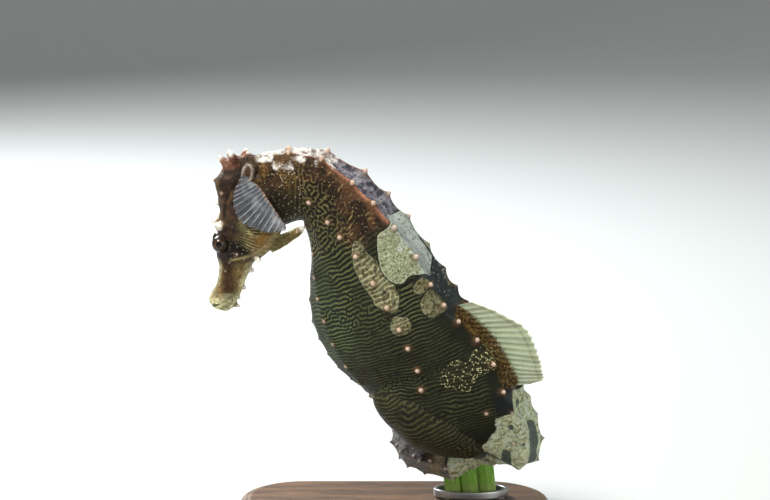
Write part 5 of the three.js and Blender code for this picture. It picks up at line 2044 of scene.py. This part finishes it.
# The dorsal fin's height above the back, in front, at its tallest ray and at the rear.  The sizes are
# rounded from a fit to the fin's outline in the photo.
DORSAL_FRONT = 4.5
DORSAL_TALLEST = 10.5
DORSAL_TALLEST_AT = 0.4  # share of the fin's foot
DORSAL_REAR = 7.5
DORSAL_RAYS = 17


def dorsal_length(share):
    """The fin's height: a quick rise to its tallest ray, a slow fall, and a rounded rear corner."""
    rise = np.sin(np.pi / 2 * np.clip(share / DORSAL_TALLEST_AT, 0, 1)) ** 0.8
    fall = np.clip((share - DORSAL_TALLEST_AT) / (1 - DORSAL_TALLEST_AT), 0, 1)
    height = DORSAL_FRONT + (DORSAL_TALLEST - DORSAL_FRONT) * rise
    height = height - (DORSAL_TALLEST - DORSAL_REAR) * fall
    return height * (1 - 0.35 * smoothstep(0.92, 1.0, share))


def build_dorsal_fin(material):
    columns = 240
    share = np.linspace(0, 1, columns)
    low, high = FIRST_TRUNK + 6.05, FIRST_TRUNK + 10.15
    ring = lerp(low, high, share)
    centre, dorsal, left, half_depth, _, _ = frames(BODY, ring)
    foot = centre + dorsal * (half_depth * 0.93 + 0.75 * fin_hump(ring, 0 * ring))[:, None]
    moved = np.clip(share + 0.42 * share * (1 - share), 0, 1)
    centre, dorsal, _, half_depth, _, step = frames(BODY, lerp(low, high, moved))
    lean = np.radians(lerp(10, 5, moved))[:, None]
    way = dorsal * np.cos(lean) + unit(step) * np.sin(lean)
    length = dorsal_length(share)
    length = length + 0.03 * np.cos(2 * np.pi * DORSAL_RAYS * share)
    edge = centre + dorsal * (half_depth * 0.93)[:, None] + way * length[:, None]
    fin_sheet("dorsal_fin", foot, edge, left, DORSAL_RAYS, 0.0, 0.2, material, "fin_dorsal")


PECTORAL_ROOT = [[-29.9, 75.7], [-27.4, 73.4], [-25.3, 70.2], [-22.3, 65.6]]
PECTORAL_EDGE = [
    [-31.2, 76.1], [-32.6, 73.0], [-32.9, 70.6], [-31.9, 67.3], [-29.0, 65.4], [-25.8, 64.7], [-22.7, 65.0],
]


def build_pectoral_fin(name, side, material, node):
    share = np.linspace(0, 1, 220)
    root = curve_through(PECTORAL_ROOT, share)
    edge = curve_through(PECTORAL_EDGE, share)
    outward = np.tile(HEAD_SIDE * side, (220, 1))

    def beside(flat, offset):
        level = np.full(len(flat), PLANE_Y)
        return np.stack([flat[:, 0], level, flat[:, 1]], axis=1) + HEAD_SIDE * side * offset

    fin_sheet(name, beside(root, 4.5), beside(edge, 4.7), outward, 16, 1.2, 0.16, material, node)


def build_anal_fin(material):
    share = np.linspace(0, 1, 40)
    centre, dorsal, left, half_depth, _, _ = frames(BODY, FIRST_TAIL - 1.75 + 0.5 * share)
    foot = centre - dorsal * (half_depth * 0.94)[:, None]
    edge = foot - dorsal * (1.6 + 0.9 * np.sin(np.pi * share))[:, None]
    fin_sheet("anal_fin", foot, edge, left, 4, 0.0, 0.2, material, "fin_anal")


# ---------------------------------------------------------------- eelgrass
# Each leaf: place across the bunch, place in its depth, splay at the top, share of the length.
LEAVES = [
    [-3.7, -1.75, -0.9, 0.93],
    [0, -2.0, 0.2, 1],
    [3.7, -1.75, 0.8, 0.88],
    [-2.1, 1.85, -0.5, 0.96],
    [1.9, 1.85, 0.6, 0.9],
]
LEAF_WIDTH = 3.4
LEAF_THICKNESS = 0.9
LEAF_BOTTOM = 5.5
LEAF_TOP = 40


def build_leaf(index, material):
    across, inward, splay, share = LEAVES[index]
    rng = np.random.default_rng(40 + index)
    top = lerp(LEAF_BOTTOM, LEAF_TOP, share)
    steps, columns = 90, 64
    turn = np.linspace(0, 2 * np.pi, columns, endpoint=False)
    flat = np.sign(np.cos(turn)) * np.abs(np.cos(turn)) ** 0.8
    deep = np.sign(np.sin(turn)) * np.abs(np.sin(turn)) ** 0.9
    veins = 0.025 * np.cos(flat * 30) * (np.abs(flat) < 0.9)
    rib = 0.10 * bell(flat, 0.16)
    profile_x = flat * LEAF_WIDTH / 2
    profile_y = deep * (LEAF_THICKNESS / 2 - 0.08) + np.sign(deep) * (veins + rib)
    profile_y = profile_y * (1 - 0.25 * np.abs(flat))
    slant = rng.uniform(-0.25, 0.25)
    rows = []
    for t in np.linspace(0, 1, steps):
        z = lerp(LEAF_BOTTOM, top, t)
        middle = np.array([bunch_x(z) + across + splay * t**4, BUNCH_Y + inward, z])
        narrow = lerp(0.93, 1.0, min(1, t * 4)) * lerp(1.0, 0.94, t)
        curl = 0.16 * math.sin(2.2 * t + index) * (flat**2 - 0.4)
        row = np.stack([profile_x * narrow, profile_y + curl * 0.6, slant * profile_x * t**3 * 0.9], axis=1)
        rows.append(middle + row)
    for shrink in (0.85, 0.5, 0.12):
        last = rows[steps - 1]
        inner = last.mean(axis=0) + (last - last.mean(axis=0)) * shrink
        inner[:, 2] -= 0.08 * (1 - shrink)
        rows.append(inner)
    points, quads, tips = capped(np.array(rows))
    thing = new_mesh(f"eelgrass_leaf_{index + 1}", points, [*quads, *tips])
    turn_outward(thing)
    count = len(points) // columns
    set_attribute(thing.data, "across", np.tile(flat, count))
    set_attribute(thing.data, "along", points[:, 2] - LEAF_BOTTOM)
    cut = np.zeros(count)
    cut[3 + steps :] = 1
    set_attribute(thing.data, "cut", np.repeat(cut, columns))
    finish_piece(thing, material, f"leaf_{index + 1}")


# ---------------------------------------------------------------- stand
BASE_SIZE = [66, 52, 5]
BASE_CORNER = 14
ROD_RADIUS = 1.2
ROD_TOP = 30
COLLAR_INNER = [6.9, 3.4]
COLLAR_WALL = 0.9
COLLAR_BOTTOM = 5.3
COLLAR_HEIGHT = 1.6


def base_outline(inset, columns):
    """The slab's rounded rectangle, drawn in by an inset, evenly spaced."""
    radius = BASE_CORNER - inset
    half_x, half_y = BASE_SIZE[0] / 2 - BASE_CORNER, BASE_SIZE[1] / 2 - BASE_CORNER
    turn = np.linspace(0, 2 * np.pi, 4 * 40, endpoint=False) + np.pi / 160
    corner = np.stack([np.sign(np.cos(turn)) * half_x, np.sign(np.sin(turn)) * half_y], axis=1)
    line = corner + np.stack([np.cos(turn), np.sin(turn)], axis=1) * radius
    closed = np.vstack([line, line[:1]])
    length = np.concatenate([[0], np.cumsum(np.linalg.norm(np.diff(closed, axis=0), axis=1))])
    at = np.linspace(0, length[-1], columns, endpoint=False)
    return np.stack([np.interp(at, length, closed[:, k]) for k in (0, 1)], axis=1)


def build_base(material):
    """The walnut slab; each row of its edge is an inset, a height and how worn the wood is there."""
    columns = 360
    edge = [
        (1.6, 0.0, 0), (0.5, 0.0, 0), (0.15, 0.12, 0.6), (0.0, 0.45, 0.8), (0.0, 1.6, 0), (0.03, 2.3, 0.7),
        (0.45, 2.45, 0), (0.55, 2.75, 0),
    ]
    for angle in np.linspace(0, 90, 12):
        turn = math.radians(angle)
        edge.append((0.55 + 1.75 * (1 - math.cos(turn)), 2.9 + 1.85 * math.sin(turn), 0.5))
    edge += [(2.5, 4.78, 0.2), (2.6, 4.95, 1.0), (2.8, 5.0, 0.8), (3.4, 5.0, 0)]
    edge += [(inset, 5.0, 0) for inset in (5, 8, 11, 13.2)]
    rows = []
    for inset, height, _ in edge:
        flat = base_outline(inset, columns)
        rows.append(np.column_stack([flat, np.full(columns, height)]))
    points, quads, tips = capped(np.array(rows))
    thing = new_mesh("walnut_base", points, [*quads, *tips])
    turn_outward(thing)
    worn = np.repeat(np.concatenate([[0] * 3, [row[2] for row in edge], [0] * 3]), columns)
    set_attribute(thing.data, "edge", worn)
    set_attribute(thing.data, "grain_x", points[:, 0])
    set_attribute(thing.data, "grain_y", points[:, 1] + 0.9 * points[:, 2])
    finish_piece(thing, material, "stand_base")


def build_rod(material):
    foot = np.array([bunch_x(BASE_SIZE[2]), BUNCH_Y, BASE_SIZE[2] - 0.05])
    top = np.array([bunch_x(ROD_TOP), BUNCH_Y, ROD_TOP])
    axis = unit(top - foot)
    across = unit(np.cross(axis, [0, 1, 0]))
    other = np.cross(axis, across)
    turn = np.linspace(0, 2 * np.pi, 64, endpoint=False)
    level = across * np.cos(turn)[:, None] + other * np.sin(turn)[:, None]
    length = np.linalg.norm(top - foot)
    profile = [(2.2, 0.0), (2.35, 0.12), (2.35, 0.42), (2.2, 0.55), (1.5, 0.6), (1.27, 0.75)]
    profile += [(ROD_RADIUS, h) for h in np.linspace(1.0, length - 0.5, 40)]
    profile += [(ROD_RADIUS - 0.07, length - 0.2), (ROD_RADIUS - 0.3, length)]
    rows = np.array([foot + axis * h + level * r for r, h in profile])
    points, quads, tips = capped(rows)
    thing = new_mesh("steel_rod", points, [*quads, *tips])
    turn_outward(thing)
    set_vectors(thing.data, "brush", brush_lines(points - foot, axis))
    finish_piece(thing, material, "stand_rod")


def brush_lines(offset, axis):
    """Coordinates stretched round an axis, so that brushing runs round it."""
    height = offset @ axis
    return np.stack([height * 2.2, offset[:, 0] * 0.06, offset[:, 1] * 0.06], axis=1)


def build_collar(material):
    turn = np.linspace(0, 2 * np.pi, 160, endpoint=False)
    centre = np.array([bunch_x(COLLAR_BOTTOM + 0.5), BUNCH_Y, COLLAR_BOTTOM])
    section = []
    for angle in np.linspace(0, 360, 40, endpoint=False):
        c, s = math.cos(math.radians(angle)), math.sin(math.radians(angle))
        power = 0.32
        across = np.sign(c) * abs(c) ** power * COLLAR_WALL / 2
        up = np.sign(s) * abs(s) ** power * COLLAR_HEIGHT / 2
        section.append((across, up))
    section = np.array(section)
    middle = np.array(COLLAR_INNER) + COLLAR_WALL / 2
    rows = []
    for a in turn:
        spot = np.array([middle[0] * math.cos(a), middle[1] * math.sin(a)])
        normal = unit(np.array([math.cos(a) / middle[0], math.sin(a) / middle[1]]))
        flat = spot + normal * section[:, 0:1]
        rows.append(np.column_stack([flat, section[:, 1] + COLLAR_HEIGHT / 2]) + centre)
    points = np.array(rows).reshape(-1, 3)
    quads = sweep_quads(len(turn), len(section))
    last = (len(turn) - 1) * len(section)
    k = np.arange(len(section))
    joint = np.stack([last + k, last + (k + 1) % len(section), (k + 1) % len(section), k], axis=1)
    thing = new_mesh("steel_collar", points, [*quads, *joint])
    turn_outward(thing)
    set_vectors(thing.data, "brush", brush_lines(points - centre, np.array([0, 0, 1.0])))
    finish_piece(thing, material, "stand_collar")


# ---------------------------------------------------------------- stage
CAMERA_PITCH = 10
CAMERA_DISTANCE = 520
CAMERA_TARGET = [-2, -4, 60]
FOCAL_PIXELS = 2600
VIEW_PIXELS = 770  # the width of the view that the focal length is given for
SENSOR_WIDTH = 36


def build_stage():
    floor_points, faces = [], []
    profile = [(-2600, 0.0), (900, 0.0)]
    for angle in np.linspace(8, 90, 12):
        turn = math.radians(angle)
        profile.append((900 + 700 * math.sin(turn), 700 * (1 - math.cos(turn))))
    profile.append((1600, 3200))
    for y, z in profile:
        floor_points += [(-3200, y, z), (3200, y, z)]
    for k in range(len(profile) - 1):
        faces.append(np.array([2 * k, 2 * k + 1, 2 * k + 3, 2 * k + 2]))
    floor = new_mesh("studio_floor", np.array(floor_points, float), faces)
    floor.data.materials.append(floor_material())


def soft_light(name, place, size, energy, colour, aim=(0, -4, 50)):
    light = bpy.data.lights.new(name, "AREA")
    light.shape = "DISK"
    light.size = size * MM
    light.energy = energy
    light.color = colour
    thing = bpy.data.objects.new(name, light)
    thing.location = Vector(place) * MM
    thing.rotation_euler = (Vector(place) - Vector(aim)).to_track_quat("Z", "Y").to_euler()
    bpy.context.scene.collection.objects.link(thing)


def build_lights():
    soft_light("key", (-330, -260, 620), 170, 7.0, (1.0, 0.97, 0.92))
    soft_light("rim", (-300, 420, 420), 220, 8.0, (0.92, 0.97, 1.0))
    soft_light("fill", (480, -520, 240), 500, 1.6, (1.0, 0.98, 0.95))
    world = bpy.data.worlds.new("studio")
    bpy.context.scene.world = world
    world.use_nodes = True
    background = world.node_tree.nodes["Background"]
    background.inputs["Color"].default_value = (0.93, 0.96, 1.0, 1)
    background.inputs["Strength"].default_value = 0.36
    bpy.context.scene.view_settings.view_transform = "Standard"


def build_camera():
    pitch = math.radians(CAMERA_PITCH)
    ahead = np.array([0, math.cos(pitch), -math.sin(pitch)])
    data = bpy.data.cameras.new("camera")
    data.sensor_fit = "HORIZONTAL"
    data.sensor_width = SENSOR_WIDTH
    data.lens = FOCAL_PIXELS / VIEW_PIXELS * SENSOR_WIDTH
    data.clip_start = 0.01
    data.clip_end = 20
    camera = bpy.data.objects.new("camera", data)
    camera.location = (np.array(CAMERA_TARGET) - ahead * CAMERA_DISTANCE) * MM
    camera.rotation_euler = (math.radians(90 - CAMERA_PITCH), 0, 0)
    bpy.context.scene.collection.objects.link(camera)
    bpy.context.scene.camera = camera


# ---------------------------------------------------------------- assembly
SKIN_NODES = ["head", "snout", "coronet", "neck", "trunk_upper", "trunk_lower", "tail_base", "pouch"]
SKIN_NODES += [f"tail_{k}" for k in range(1, 7)]


def main():
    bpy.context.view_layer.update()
    build_camera()
    build_stage()
    build_lights()
    skin = build_skin()
    finish_piece(skin, skin_material(), *SKIN_NODES)
    eye = eye_material()
    build_eye("eyeball_left", EYES[0], GAZE[0], eye, "eye_left")
    build_eye("eyeball_right", EYES[1], GAZE[1], eye, "eye_right")
    back_fin = fin_material(
        "dorsal_fin", (0.28, 0.33, 0.21), (0.40, 0.47, 0.35), (0.40, 0.46, 0.33),
        ((0.026, 0.017, 0.006), 0.22, 0.34), 1, -0.7, 1.0,
    )
    side_fin = fin_material(
        "pectoral_fin", (0.070, 0.074, 0.085), (0.27, 0.28, 0.29), (0.33, 0.36, 0.40),
        ((0.070, 0.045, 0.030), 0.02, 0.08), 0.55, 0.55,
    )
    build_dorsal_fin(back_fin)
    build_anal_fin(back_fin)
    build_pectoral_fin("pectoral_fin_left", 1, side_fin, "fin_pectoral_left")
    build_pectoral_fin("pectoral_fin_right", -1, side_fin, "fin_pectoral_right")
    leaf = leaf_material()
    for index in range(len(LEAVES)):
        build_leaf(index, leaf)
    steel = steel_material()
    build_base(wood_material())
    build_rod(steel)
    build_collar(steel)


main()
